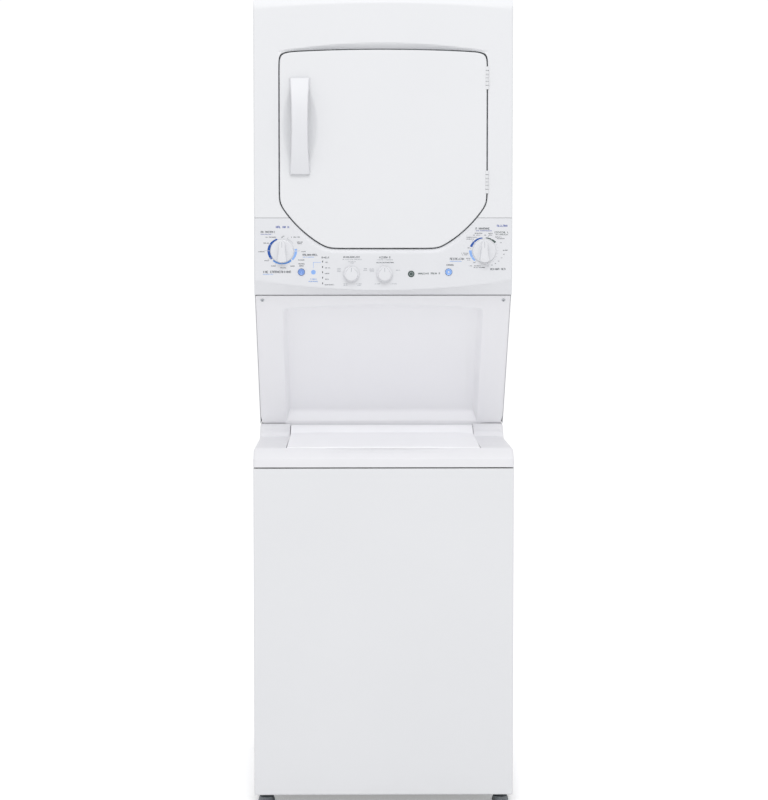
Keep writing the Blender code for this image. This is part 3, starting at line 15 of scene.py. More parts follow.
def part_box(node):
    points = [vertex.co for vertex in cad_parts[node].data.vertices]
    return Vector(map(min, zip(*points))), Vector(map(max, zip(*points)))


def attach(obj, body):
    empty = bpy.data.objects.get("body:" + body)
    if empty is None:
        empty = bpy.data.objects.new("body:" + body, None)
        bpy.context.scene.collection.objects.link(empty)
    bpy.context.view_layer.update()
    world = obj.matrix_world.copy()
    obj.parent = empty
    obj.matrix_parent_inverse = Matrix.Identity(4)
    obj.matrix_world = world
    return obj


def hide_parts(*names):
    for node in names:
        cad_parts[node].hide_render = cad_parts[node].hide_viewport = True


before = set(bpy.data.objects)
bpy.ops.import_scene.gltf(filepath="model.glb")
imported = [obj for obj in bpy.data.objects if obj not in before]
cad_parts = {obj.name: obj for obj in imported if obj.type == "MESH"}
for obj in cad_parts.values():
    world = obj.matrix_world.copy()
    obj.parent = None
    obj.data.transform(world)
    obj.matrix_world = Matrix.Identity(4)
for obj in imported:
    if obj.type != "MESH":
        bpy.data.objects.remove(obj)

LOG = logging.getLogger("laundry_centre")
MM = 0.001
Flat = tuple[float, float]
Solid = tuple[float, float, float]


# --- colour and shader helpers ----------------------------------------------------------------------
def linear(hex_colour: str) -> tuple[float, float, float, float]:
    """Turns an sRGB hex colour into a linear RGBA value.

    Args:
        hex_colour: six hex digits with a leading hash.

    Returns:
        Linear red, green, blue and an alpha of one.
    """
    parts = [int(hex_colour[i : i + 2], 16) / 255 for i in (1, 3, 5)]
    red, green, blue = (p / 12.92 if p <= 0.04045 else ((p + 0.055) / 1.055) ** 2.4 for p in parts)
    return (red, green, blue, 1.0)


def add(tree: bpy.types.NodeTree, kind: str, settings: dict | None = None, links: dict | None = None) -> bpy.types.Node:
    """Adds one shader node.

    Args:
        tree: the node tree that gets the node.
        kind: the node's Blender type, such as ShaderNodeTexNoise.
        settings: values for its sockets (by name or number) or its properties.
        links: output sockets to join to its inputs, by input name or number.

    Returns:
        The new node.
    """
    made = tree.nodes.new(kind)
    for key, value in (settings or {}).items():
        if isinstance(key, int) or key in made.inputs:
            made.inputs[key].default_value = value
        else:
            setattr(made, key, value)
    for key, socket in (links or {}).items():
        tree.links.new(socket, made.inputs[key])
    return made


@dataclass(frozen=True)
class Finish:
    """One finish: a named material and the pattern that its making leaves."""

    label: str
    base: str
    shade: str
    roughness: float = 0.4
    metallic: float = 0.0
    ior: float = 1.5
    coat: float = 0.0

    def material(self) -> bpy.types.Material:
        """The Blender material, built once for each finish."""
        known = bpy.data.materials.get(self.label)
        if known:
            return known
        made = bpy.data.materials.new(self.label)
        made.use_nodes = True
        tree = made.node_tree
        shader = tree.nodes["Principled BSDF"]
        shader.inputs["Metallic"].default_value = self.metallic
        shader.inputs["Roughness"].default_value = self.roughness
        if not self.metallic:
            shader.inputs["IOR"].default_value = self.ior
        shader.inputs["Coat Weight"].default_value = self.coat
        shader.inputs["Base Color"].default_value = linear(self.base)
        place = add(tree, "ShaderNodeTexCoord").outputs["Object"]
        self.dress(tree, shader, place)
        made.diffuse_color = linear(self.base)
        return made

    def dress(self, tree: bpy.types.NodeTree, shader: bpy.types.Node, place: bpy.types.NodeSocket) -> None:
        """Adds the pattern nodes; each finish has its own.

        Args:
            tree: the material's node tree.
            shader: its Principled node.
            place: object coordinates in metres.
        """
        raise NotImplementedError

    def tint(self, tree: bpy.types.NodeTree, shader: bpy.types.Node, amount: bpy.types.NodeSocket) -> bpy.types.Node:
        """Mixes the base and the shade colour by a 0 to 1 pattern, into the shader's colour."""
        mix = add(
            tree,
            "ShaderNodeMix",
            {"data_type": "RGBA", 6: linear(self.base), 7: linear(self.shade)},
            {0: amount},
        )
        tree.links.new(mix.outputs[2], shader.inputs["Base Color"])
        return mix

    def relief(
        self,
        tree: bpy.types.NodeTree,
        shader: bpy.types.Node,
        height: bpy.types.NodeSocket,
        depth_mm: float,
        strength: float,
    ) -> bpy.types.Node:
        """Joins a height pattern to the shader's normal.

        Args:
            tree: the material's node tree.
            shader: its Principled node.
            height: the 0 to 1 height pattern.
            depth_mm: the height that one unit stands for.
            strength: the bump's strength.

        Returns:
            The bump node.
        """
        bump = add(
            tree,
            "ShaderNodeBump",
            {"Distance": depth_mm * MM, "Strength": strength},
            {"Height": height},
        )
        tree.links.new(bump.outputs["Normal"], shader.inputs["Normal"])
        return bump

    def polish(
        self, tree: bpy.types.NodeTree, shader: bpy.types.Node, pattern: bpy.types.NodeSocket, low: float, high: float
    ) -> None:
        """Spreads the roughness between two values by a 0 to 1 pattern."""
        spread = add(tree, "ShaderNodeMapRange", {"To Min": low, "To Max": high}, {"Value": pattern})
        tree.links.new(spread.outputs[0], shader.inputs["Roughness"])


@dataclass(frozen=True)
class PowderCoat(Finish):
    """Baked enamel on cold-rolled steel: a soft gloss with a faint orange peel."""

    peel_mm: float = 5.0

    def dress(self, tree: bpy.types.NodeTree, shader: bpy.types.Node, place: bpy.types.NodeSocket) -> None:
        """Orange peel a few millimetres across, and a film that varies slowly over the sheet."""
        film = add(tree, "ShaderNodeTexNoise", {"Scale": 1 / 0.35, "Detail": 2.0}, {"Vector": place})
        peel = add(
            tree, "ShaderNodeTexNoise", {
                "Scale": 1000 / self.peel_mm, "Detail": 3.0, "Roughness": 0.4
            }, {"Vector": place}
        )
        self.tint(tree, shader, film.outputs["Fac"])
        self.polish(tree, shader, peel.outputs["Fac"], self.roughness - 0.04, self.roughness + 0.05)
        self.relief(tree, shader, peel.outputs["Fac"], 0.05, 0.18)


@dataclass(frozen=True)
class MouldedPlastic(Finish):
    """Injection-moulded thermoplastic: a spark-eroded grain from the tool, and slow flow marks."""

    grain_mm: float = 0.6
    depth_mm: float = 0.02

    def dress(self, tree: bpy.types.NodeTree, shader: bpy.types.Node, place: bpy.types.NodeSocket) -> None:
        """A fine grain that breaks up the gloss, drawn no finer than it can show."""
        grain = add(
            tree, "ShaderNodeTexNoise", {"Scale": 1000 / self.grain_mm, "Detail": 2.0}, {"Vector": place}
        )
        flow = add(
            tree, "ShaderNodeTexNoise", {"Scale": 1 / 0.09, "Detail": 3.0, "Distortion": 0.6}, {"Vector": place}
        )
        self.tint(tree, shader, flow.outputs["Fac"])
        self.polish(tree, shader, flow.outputs["Fac"], self.roughness - 0.04, self.roughness + 0.06)
        self.relief(tree, shader, grain.outputs["Fac"], self.depth_mm, 0.35)


@dataclass(frozen=True)
class HotDipZinc(Finish):
    """Hot-dip galvanised sheet: frozen zinc crystals, each with its own tone and gloss."""

    spangle_mm: float = 9.0

    def dress(self, tree: bpy.types.NodeTree, shader: bpy.types.Node, place: bpy.types.NodeSocket) -> None:
        """Crystal cells about a centimetre across, with feathered growth lines inside them."""
        warp = add(tree, "ShaderNodeTexNoise", {"Scale": 1 / 0.012, "Detail": 2.0}, {"Vector": place})
        bent = add(
            tree, "ShaderNodeMix", {"data_type": "VECTOR", 0: 0.012}, {4: place, 5: warp.outputs["Color"]}
        )
        cells = add(
            tree, "ShaderNodeTexVoronoi", {"Scale": 1000 / self.spangle_mm}, {"Vector": bent.outputs[1]}
        )
        tone = add(tree, "ShaderNodeSeparateColor", None, {0: cells.outputs["Color"]})
        self.tint(tree, shader, tone.outputs[0])
        self.polish(tree, shader, tone.outputs[1], self.roughness - 0.08, self.roughness + 0.12)
        self.relief(tree, shader, tone.outputs[2], 0.02, 0.3)


@dataclass(frozen=True)
class TurnedLines(Finish):
    """Rolled or brushed metal: fine lines that run round an axis or along a sheet."""

    stretch: Solid = (1.0, 60.0, 1.0)
    line_mm: float = 6.0
    depth_mm: float = 0.02

    def dress(self, tree: bpy.types.NodeTree, shader: bpy.types.Node, place: bpy.types.NodeSocket) -> None:
        """Noise drawn out into lines, which pulls the highlights across them."""
        drawn = add(tree, "ShaderNodeMapping", {"Scale": self.stretch}, {"Vector": place})
        lines = add(
            tree,
            "ShaderNodeTexNoise",
            {"Scale": 1000 / self.line_mm, "Detail": 4.0, "Roughness": 0.6},
            {"Vector": drawn.outputs[0]},
        )
        self.tint(tree, shader, lines.outputs["Fac"])
        self.polish(tree, shader, lines.outputs["Fac"], self.roughness - 0.07, self.roughness + 0.12)
        self.relief(tree, shader, lines.outputs["Fac"], self.depth_mm, 0.3)


@dataclass(frozen=True)
class SandCast(Finish):
    """Die-cast aluminium as it leaves the die: a dull skin with a coarse grain and cold-flow patches."""

    grain_mm: float = 1.2

    def dress(self, tree: bpy.types.NodeTree, shader: bpy.types.Node, place: bpy.types.NodeSocket) -> None:
        """A pebbled skin with darker flow patches."""
        grain = add(tree, "ShaderNodeTexNoise", {"Scale": 1000 / self.grain_mm, "Detail": 5.0}, {"Vector": place})
        patch = add(tree, "ShaderNodeTexNoise", {"Scale": 1 / 0.04, "Detail": 3.0}, {"Vector": place})
        self.tint(tree, shader, patch.outputs["Fac"])
        self.polish(tree, shader, grain.outputs["Fac"], self.roughness - 0.05, self.roughness + 0.15)
        self.relief(tree, shader, grain.outputs["Fac"], 0.15, 0.5)


@dataclass(frozen=True)
class CuredRubber(Finish):
    """Moulded and cured rubber: nearly black, matt, with talc left in the grain."""

    grain_mm: float = 1.0

    def dress(self, tree: bpy.types.NodeTree, shader: bpy.types.Node, place: bpy.types.NodeSocket) -> None:
        """Dusty grey patches over a fine grain."""
        dust = add(
            tree, "ShaderNodeTexNoise", {"Scale": 1 / 0.015, "Detail": 6.0, "Roughness": 0.7}, {"Vector": place}
        )
        grain = add(tree, "ShaderNodeTexNoise", {"Scale": 1000 / self.grain_mm, "Detail": 2.0}, {"Vector": place})
        self.tint(tree, shader, dust.outputs["Fac"])
        self.polish(tree, shader, dust.outputs["Fac"], self.roughness - 0.05, self.roughness + 0.1)
        self.relief(tree, shader, grain.outputs["Fac"], 0.06, 0.5)


@dataclass(frozen=True)
class ScreenInk(Finish):
    """Screen-printed ink: a thin satin film, slightly uneven where the mesh laid it."""

    def dress(self, tree: bpy.types.NodeTree, shader: bpy.types.Node, place: bpy.types.NodeSocket) -> None:
        """Mesh marks just under a millimetre apart, coarser than real ones so that they show."""
        mesh = add(tree, "ShaderNodeTexNoise", {"Scale": 1 / 0.0009, "Detail": 1.0}, {"Vector": place})
        self.tint(tree, shader, mesh.outputs["Fac"])
        self.polish(tree, shader, mesh.outputs["Fac"], self.roughness - 0.05, self.roughness + 0.05)


@dataclass(frozen=True)
class PiercedEnamel(Finish):
    """Vitreous enamel on a pierced steel basket: glassy white with rows of small dark holes."""

    hole_mm: float = 4.0
    pitch_mm: float = 24.0
    radius_mm: float = 232.0
    centre_y: float = 0.0

    def dress(self, tree: bpy.types.NodeTree, shader: bpy.types.Node, place: bpy.types.NodeSocket) -> None:
        """Holes on a staggered grid round the basket's axis, sunk and dark, with a flow of the glaze."""
        shifted = add(tree, "ShaderNodeVectorMath", {1: (0.0, -self.centre_y, 0.0)}, {0: place})
        split = add(tree, "ShaderNodeSeparateXYZ", None, {0: shifted.outputs[0]})
        turn = add(tree, "ShaderNodeMath", {"operation": "ARCTAN2"}, {0: split.outputs[1], 1: split.outputs[0]})
        count = round(math.tau * self.radius_mm / self.pitch_mm)
        across = add(
            tree, "ShaderNodeMath", {"operation": "MULTIPLY", 1: count / math.tau}, {0: turn.outputs[0]}
        )
        up = add(
            tree, "ShaderNodeMath", {"operation": "MULTIPLY", 1: 1000 / self.pitch_mm}, {0: split.outputs[2]}
        )
        row = add(tree, "ShaderNodeMath", {"operation": "FLOOR"}, {0: up.outputs[0]})
        half = add(tree, "ShaderNodeMath", {"operation": "MULTIPLY", 1: 0.5}, {0: row.outputs[0]})
        staggered = add(tree, "ShaderNodeMath", {"operation": "ADD"}, {0: across.outputs[0], 1: half.outputs[0]})
        cells = []
        for source in (staggered, up):
            part = add(tree, "ShaderNodeMath", {"operation": "FRACT"}, {0: source.outputs[0]})
            cells.append(add(tree, "ShaderNodeMath", {"operation": "SUBTRACT", 1: 0.5}, {0: part.outputs[0]}))
        flat = add(tree, "ShaderNodeCombineXYZ", None, {0: cells[0].outputs[0], 1: cells[1].outputs[0]})
        reach = add(tree, "ShaderNodeVectorMath", {"operation": "LENGTH"}, {0: flat.outputs[0]})
        edge = self.hole_mm / self.pitch_mm / 2
        hole = add(
            tree,
            "ShaderNodeMapRange",
            {"From Min": edge * 1.15, "From Max": edge * 0.85},
            {"Value": reach.outputs["Value"]},
        )
        self.tint(tree, shader, hole.outputs[0])
        self.relief(tree, shader, hole.outputs[0], -1.5, 0.8)


# Powder coat baked on folded sheet: a faint orange peel softens every highlight's edge.
WHITE_ENAMEL = PowderCoat("powder_coated_steel_white", "#E4E5E7", "#E0E1E3", 0.34)
# Injection-moulded ABS from a fine-grained mould: an even satin without sparkle.
WHITE_ABS = MouldedPlastic("moulded_abs_white", "#E0E1E4", "#DCDDE0", 0.36)
# The same ABS from a smoother mould, its white painted lighter: painted light that brightens the lid's face.
PAINTED_LIGHT_ABS = MouldedPlastic("gloss_moulded_abs_white_painted_lighter", "#F9F9FB", "#F5F5F8", 0.34)
# ABS from a lightly grained mould, its white painted lighter than the fascia's: painted light on the cover, with broad
# soft highlights along its rounded rim.
PAINTED_LIGHT_COVER_ABS = MouldedPlastic("moulded_abs_cover_white_painted_lighter", "#E9E9EC", "#E5E5E8", 0.36)
# Powder coat with its white painted lighter than the other enamel: painted light that keeps the sloping panel bright in
# the shade below the dryer.
PAINTED_LIGHT_ENAMEL = PowderCoat("powder_coated_steel_white_painted_lighter", "#F6F6F8", "#F2F2F5", 0.38)
# Tinted polycarbonate polished in the mould: clear blue with small sharp glints.
BLUE_KEY = MouldedPlastic("polished_polycarbonate_blue", "#6F93D6", "#7C9EDC", 0.18, ior=1.58, coat=0.3, depth_mm=0.0)
# The same polycarbonate with less tint: a paler key with the same glints. It also serves as the painted highlight, a
# pale disc at the rinse key's centre.
PALE_KEY_AND_HIGHLIGHT = MouldedPlastic("polished_polycarbonate_pale_blue", "#7FAAEC", "#8DB4EF", 0.18, ior=1.58, coat=0.3)
# Hot-dip zinc left to crystallise: soft spangles that turn lighter and darker.
ZINC_SHEET = HotDipZinc("hot_dip_galvanised_steel", "#B9BDC1", "#9DA2A7", 0.42, 1.0)
# Bright zinc plated over turned steel: fine lines that stretch the highlight.
BRIGHT_ZINC = TurnedLines(
    "bright_zinc_plated_steel", "#D2D5D8", "#B4B8BC", 0.30, 1.0, stretch=(1.0, 1.0, 12.0), line_mm=3.0
)
# Brushed stainless steel: fine lines that draw highlights out across the grain.
STAINLESS = TurnedLines("brushed_stainless_steel", "#C9CACB", "#AFB1B3", 0.30, 1.0)
# Die-cast aluminium left as cast: a dull, slightly mottled grey.
CAST_ALLOY = SandCast("die_cast_aluminium", "#B4B6B8", "#8E9194", 0.50, 1.0)
# Glass-filled polypropylene: fibres near the face leave it dull and a little rough.
GREY_PP = MouldedPlastic("glass_filled_polypropylene_grey", "#8B8F93", "#7D8185", 0.55, grain_mm=1.2, depth_mm=0.05)
# Plain moulded polypropylene: dark, with a weak waxy highlight. The same dark grey is also laid on as painted shade in
# the screws' cross recesses and between the hinges' knuckles.
DARK_PP_AND_PAINTED_SHADE = MouldedPlastic("moulded_polypropylene_dark_grey_and_painted_shade", "#3E4246", "#33373A", 0.5)
# Polypropylene from a coarse mould: a slightly uneven, waxy white.
TUB_PP = MouldedPlastic("moulded_polypropylene_tub_white", "#DADCDB", "#CFD2D1", 0.48, grain_mm=1.5, depth_mm=0.04)
# Cured rubber with a dusty bloom: nearly black, with almost no highlight.
BELT_RUBBER = CuredRubber("cured_rubber_black", "#1C1D1E", "#34363A", 0.72)
# Vitreous enamel fired on pierced steel: glassy white broken by rows of dark holes.
BASKET_ENAMEL = PiercedEnamel("vitreous_enamel_on_pierced_steel", "#E9EBEC", "#303336", 0.2)
# Screen-printed ink dried flat: dark grey, a little duller than the panel under it.
LINE_GREY = ScreenInk("screen_ink_dark_grey", "#575C62", "#62676D", 0.42)
# Screen-printed ink with more white in it: a light grey that stays quiet.
PALE_GREY = ScreenInk("screen_ink_light_grey", "#A3A7AC", "#ABAFB4", 0.42)
# Screen-printed ink dried flat: a dark blue with a violet cast.
ROYAL = ScreenInk("screen_ink_royal_blue", "#24449E", "#2E4FA8", 0.42)
# Screen-printed ink dried flat: a dense pure blue, even under the light.
DEEP_BLUE = ScreenInk("screen_ink_deep_blue", "#0B4BA0", "#1353A8", 0.42)
# Screen-printed ink with some white in it: a clear middle blue.
MID_BLUE = ScreenInk("screen_ink_mid_blue", "#4F8BD6", "#5A93DA", 0.42)
# Screen-printed ink with more white in it: a pale blue.
SOFT_BLUE = ScreenInk("screen_ink_soft_blue", "#86AEEA", "#90B5ED", 0.42)
# Screen-printed ink dried flat: a dark green-grey that looks nearly neutral.
FOREST = ScreenInk("screen_ink_green_grey", "#445450", "#4C5C58", 0.42)


# --- mesh helpers -----------------------------------------------------------------------------------
def ramp(value: float, low: float, high: float) -> float:
    """A smooth step from 0 at low to 1 at high."""
    t = min(max((value - low) / (high - low), 0.0), 1.0)
    return t * t * (3 - 2 * t)


def rolled(distance: float, radius: float) -> float:
    """How far a quarter-round edge falls away at a distance from the edge."""
    if distance >= radius:
        return 0.0
    return radius - math.sqrt(max(radius * radius - (radius - max(distance, 0.0)) ** 2, 0.0))


def spaced(low: float, high: float, count: int, ends: Sequence[float] = ()) -> list[float]:
    """Numbers from low to high, closer together near both ends.

    Args:
        low: the first number.
        high: the last number.
        count: how many even steps lie between them.
        ends: extra distances from each end.

    Returns:
        The sorted numbers.
    """
    made = {low + (high - low) * i / count for i in range(count + 1)}
    for extra in ends:
        made |= {low + extra, high - extra}
    return sorted(made)


class Draft:
    """A mesh in the making, which ends as one object that rides on a CAD body."""

    def __init__(self) -> None:
        """Starts empty."""
        self.bm = bmesh.new()

    def ring(self, points: Iterable[Sequence[float]]) -> list[bmesh.types.BMVert]:
        """New vertices at a list of points."""
        return [self.bm.verts.new(Vector(p)) for p in points]

    def bridge(self, first: list, second: list, closed: bool = True) -> None:
        """Joins two rings of the same length with quads."""
        count = len(first)
        for i in range(count if closed else count - 1):
            j = (i + 1) % count
            quad = []
            for v in (first[i], first[j], second[j], second[i]):
                if v not in quad:
                    quad.append(v)
            if len(quad) > 2:
                self.bm.faces.new(quad)

    def tube(self, rings: Sequence[Iterable[Sequence[float]]], closed: bool = True, caps: bool = True) -> list[list]:
        """A skin over a row of rings.

        Args:
            rings: the points of each ring.
            closed: whether each ring closes on itself.
            caps: whether the first and last ring are filled.

        Returns:
            The rings' vertices.
        """
        made = [self.ring(points) for points in rings]
        for a, b in zip(made, made[1:]):
            self.bridge(a, b, closed)
        if caps and closed:
            self.bm.faces.new(made[0])
            self.bm.faces.new(made[-1])
        return made

    def turned(
        self, profile: Sequence[Flat], centre: Solid, axis: str = "Y", steps: int = 48, caps: bool = True
    ) -> None:
        """A lathe shape.

        Args:
            profile: radius and height along the axis, in metres.
            centre: the point on the axis that heights start from.
            axis: the axis's name, Y pointing out towards the user (so heights go to minus Y) or Z.
            steps: points round the axis.
            caps: whether the two ends are filled.
        """
        rings = []
        for radius, height in profile:
            ring = []
            for i in range(steps):
                c, s = math.cos(math.tau * i / steps) * radius, math.sin(math.tau * i / steps) * radius
                if axis == "Y":
                    ring.append((centre[0] + c, centre[1] - height, centre[2] + s))
                else:
                    ring.append((centre[0] + c, centre[1] + s, centre[2] + height))
            rings.append(ring)
        self.tube(rings, caps=caps)

    def bore(self, spot: Flat, radius: float) -> None:
        """Cuts a round hole along Y through the front face.

        Args:
            spot: the hole's middle, across and up.
            radius: its radius.
        """
        mid = Vector((spot[0], spot[1]))

        def away(face: bmesh.types.BMFace) -> float:
            """How far a face's middle is from the hole's."""
            at = face.calc_center_median()
            return (Vector((at.x, at.z)) - mid).length

        near = [face for face in self.bm.faces if away(face) < radius + 0.015]
        for k in range(28):
            angle = math.tau * k / 28
            normal = Vector((math.cos(angle), 0.0, math.sin(angle)))
            parts = {item for face in near for item in (face, *face.edges, *face.verts)}
            cut = bmesh.ops.bisect_plane(
                self.bm, geom=list(parts), plane_co=Vector((mid.x, 0.0, mid.y)) + normal * radius, plane_no=normal
            )
            near = [item for item in cut["geom"] if isinstance(item, bmesh.types.BMFace)]
        inside = [face for face in near if away(face) < radius * 0.97]
        bmesh.ops.delete(self.bm, geom=inside, context="FACES")

    def done(
        self,
        name: str,
        finish: Finish,
        body: str,
        slot: str,
        replaces: Sequence[str] = (),
        sharp: float = 35.0,
        bevel_mm: float = 0.0,
        wall_mm: float = 0.0,
    ) -> bpy.types.Object:
        """Turns the draft into an object.

        Args:
            name: the piece's name.
            finish: its material.
            body: the CAD body that it rides on.
            slot: the record's material slot.
            replaces: CAD nodes that it stands for.
            sharp: edges above this angle stay sharp, in degrees.
            bevel_mm: width of a rounded edge, or none.
            wall_mm: thickness given to an open sheet, inwards, or none.

        Returns:
            The new object.
        """
        bmesh.ops.recalc_face_normals(self.bm, faces=self.bm.faces)
        mesh = bpy.data.meshes.new(name)
        self.bm.to_mesh(mesh)
        self.bm.free()
        mesh.shade_smooth()
        mesh.set_sharp_from_angle(angle=math.radians(sharp))
        mesh.materials.append(finish.material())
        piece = bpy.data.objects.new(name, mesh)
        bpy.context.scene.collection.objects.link(piece)
        if wall_mm:
            skin = piece.modifiers.new("wall", "SOLIDIFY")
            skin.thickness, skin.offset = wall_mm * MM, -1.0
        if bevel_mm:
            soft = piece.modifiers.new("rounded_edges", "BEVEL")
            soft.width, soft.segments, soft.limit_method = bevel_mm * MM, 3, "ANGLE"
            soft.angle_limit, soft.harden_normals = math.radians(28), True
        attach(piece, body)
        if replaces:
            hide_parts(*replaces)
        LOG.info("built %s on %s", name, body)
        return piece


def dress_node(node: str, finish: Finish) -> None:
    """Gives a carried-over CAD node its finish in every material slot."""
    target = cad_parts[node]
    for held in target.material_slots:
        held.material = finish.material()
    LOG.info("dressed %s with %s", node, finish.label)


# --- shared sizes, read from the packed part ----------------------------------------------------------
FASCIA_LOW, FASCIA_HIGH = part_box("control_panel")
CROWN_LOW, CROWN_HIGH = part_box("dryer_front_panel")
DOOR_LOW, DOOR_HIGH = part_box("door_outer_panel")
DRUM_LOW, DRUM_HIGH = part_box("dryer_drum")
FACE_Y = FASCIA_LOW.y
PAN_BACK = FASCIA_HIGH.y
HALF = FASCIA_HIGH.x
AXIS_Z = (DRUM_LOW.z + DRUM_HIGH.z) / 2


@dataclass(frozen=True)
class DoorOutline:
    """The dryer door's outline about the drum's axis: flat sides, a low arch on top, the drum's curve below."""

    half: float = 0.2405
    top: float = 0.209
    arch: float = 0.007
    bottom: float = 0.2505
    arc: float = 0.281

    def reach(self, angle: float, grow: float = 0.0) -> float:
        """The outline's distance from the axis.

        Args:
            angle: the direction from the axis, in radians.
            grow: how far the outline is moved outwards.

        Returns:
            The distance in metres.
        """
        c, s = math.cos(angle), math.sin(angle)
        side = (self.half + grow) / max(abs(c), 0.05)
        if s > 0:
            across = min(abs(c) * side / self.half, 1.0) if abs(c) > 0.05 else 0.0
            across = min(across, abs(c / max(s, 0.05)) * self.top / self.half)
            top = (self.top - self.arch * across**2 + grow) / max(s, 0.05)
            return (side**-26 + top**-26) ** (-1 / 26)
        bottom = (self.bottom + grow) / max(-s, 0.05)
        return (side**-80 + bottom**-80 + (self.arc + grow) ** -80) ** (-1 / 80)

    def point(self, angle: float, grow: float = 0.0) -> Flat:
        """The outline's x and z at an angle."""
        r = self.reach(angle, grow)
        return (r * math.cos(angle), AXIS_Z + r * math.sin(angle))

    def depth_inside(self, x: float, z: float) -> float:
        """How far a point lies outside the outline, measured along its ray; negative inside."""
        angle = math.atan2(z - AXIS_Z, x)
        return math.hypot(x, z - AXIS_Z) - self.reach(angle)


OUTLINE = DoorOutline()


@dataclass
class WasherCasing:
    """The washer's front panel, cabinet, base and feet."""

    edge_mm: float = 3.5
    corner_mm: float = 3.0

    def front_panel(self) -> None:
        """A shallow pan with rolled edges."""
        low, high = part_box("washer_front_panel")
        draft, radius = Draft(), self.edge_mm * MM
        rings = []
        insets = [(0.0, high.y), (0.0, low.y + radius)]
        insets += [
            (radius * (1 - math.cos(a)), low.y + radius * (1 - math.sin(a)))
            for a in (0.3, 0.6, 0.9, 1.2, math.pi / 2)
        ]
        insets += [(radius + 0.002, low.y), (0.05, low.y)]
        for inset, y in insets:
            x0, x1, z0, z1 = low.x + inset, high.x - inset, low.z + inset, high.z - inset
            across = [x0 + (x1 - x0) * i / 12 for i in range(12)]
            up = [z0 + (z1 - z0) * i / 12 for i in range(12)]
            ring = [(x, y, z0) for x in across] + [(x1, y, z) for z in up]
            ring += [(x0 + x1 - x, y, z1) for x in across] + [(x0, y, z0 + z1 - z) for z in up]
            rings.append(ring)
        made = draft.tube(rings, caps=False)
        draft.bm.faces.new(made[-1])
        draft.done("washer_front", WHITE_ENAMEL, "cabinet", "white enamel", ["washer_front_panel"], wall_mm=1.0)

    def build(self) -> None:
        """Builds the front and dresses the kept casing."""
        self.front_panel()
        dress_node("washer_cabinet", WHITE_ENAMEL)
        dress_node("base_frame", ZINC_SHEET)
        for depth in ("front", "rear"):
            for side in ("left", "right"):
                dress_node(f"leveling_foot_{depth}_{side}", GREY_PP)


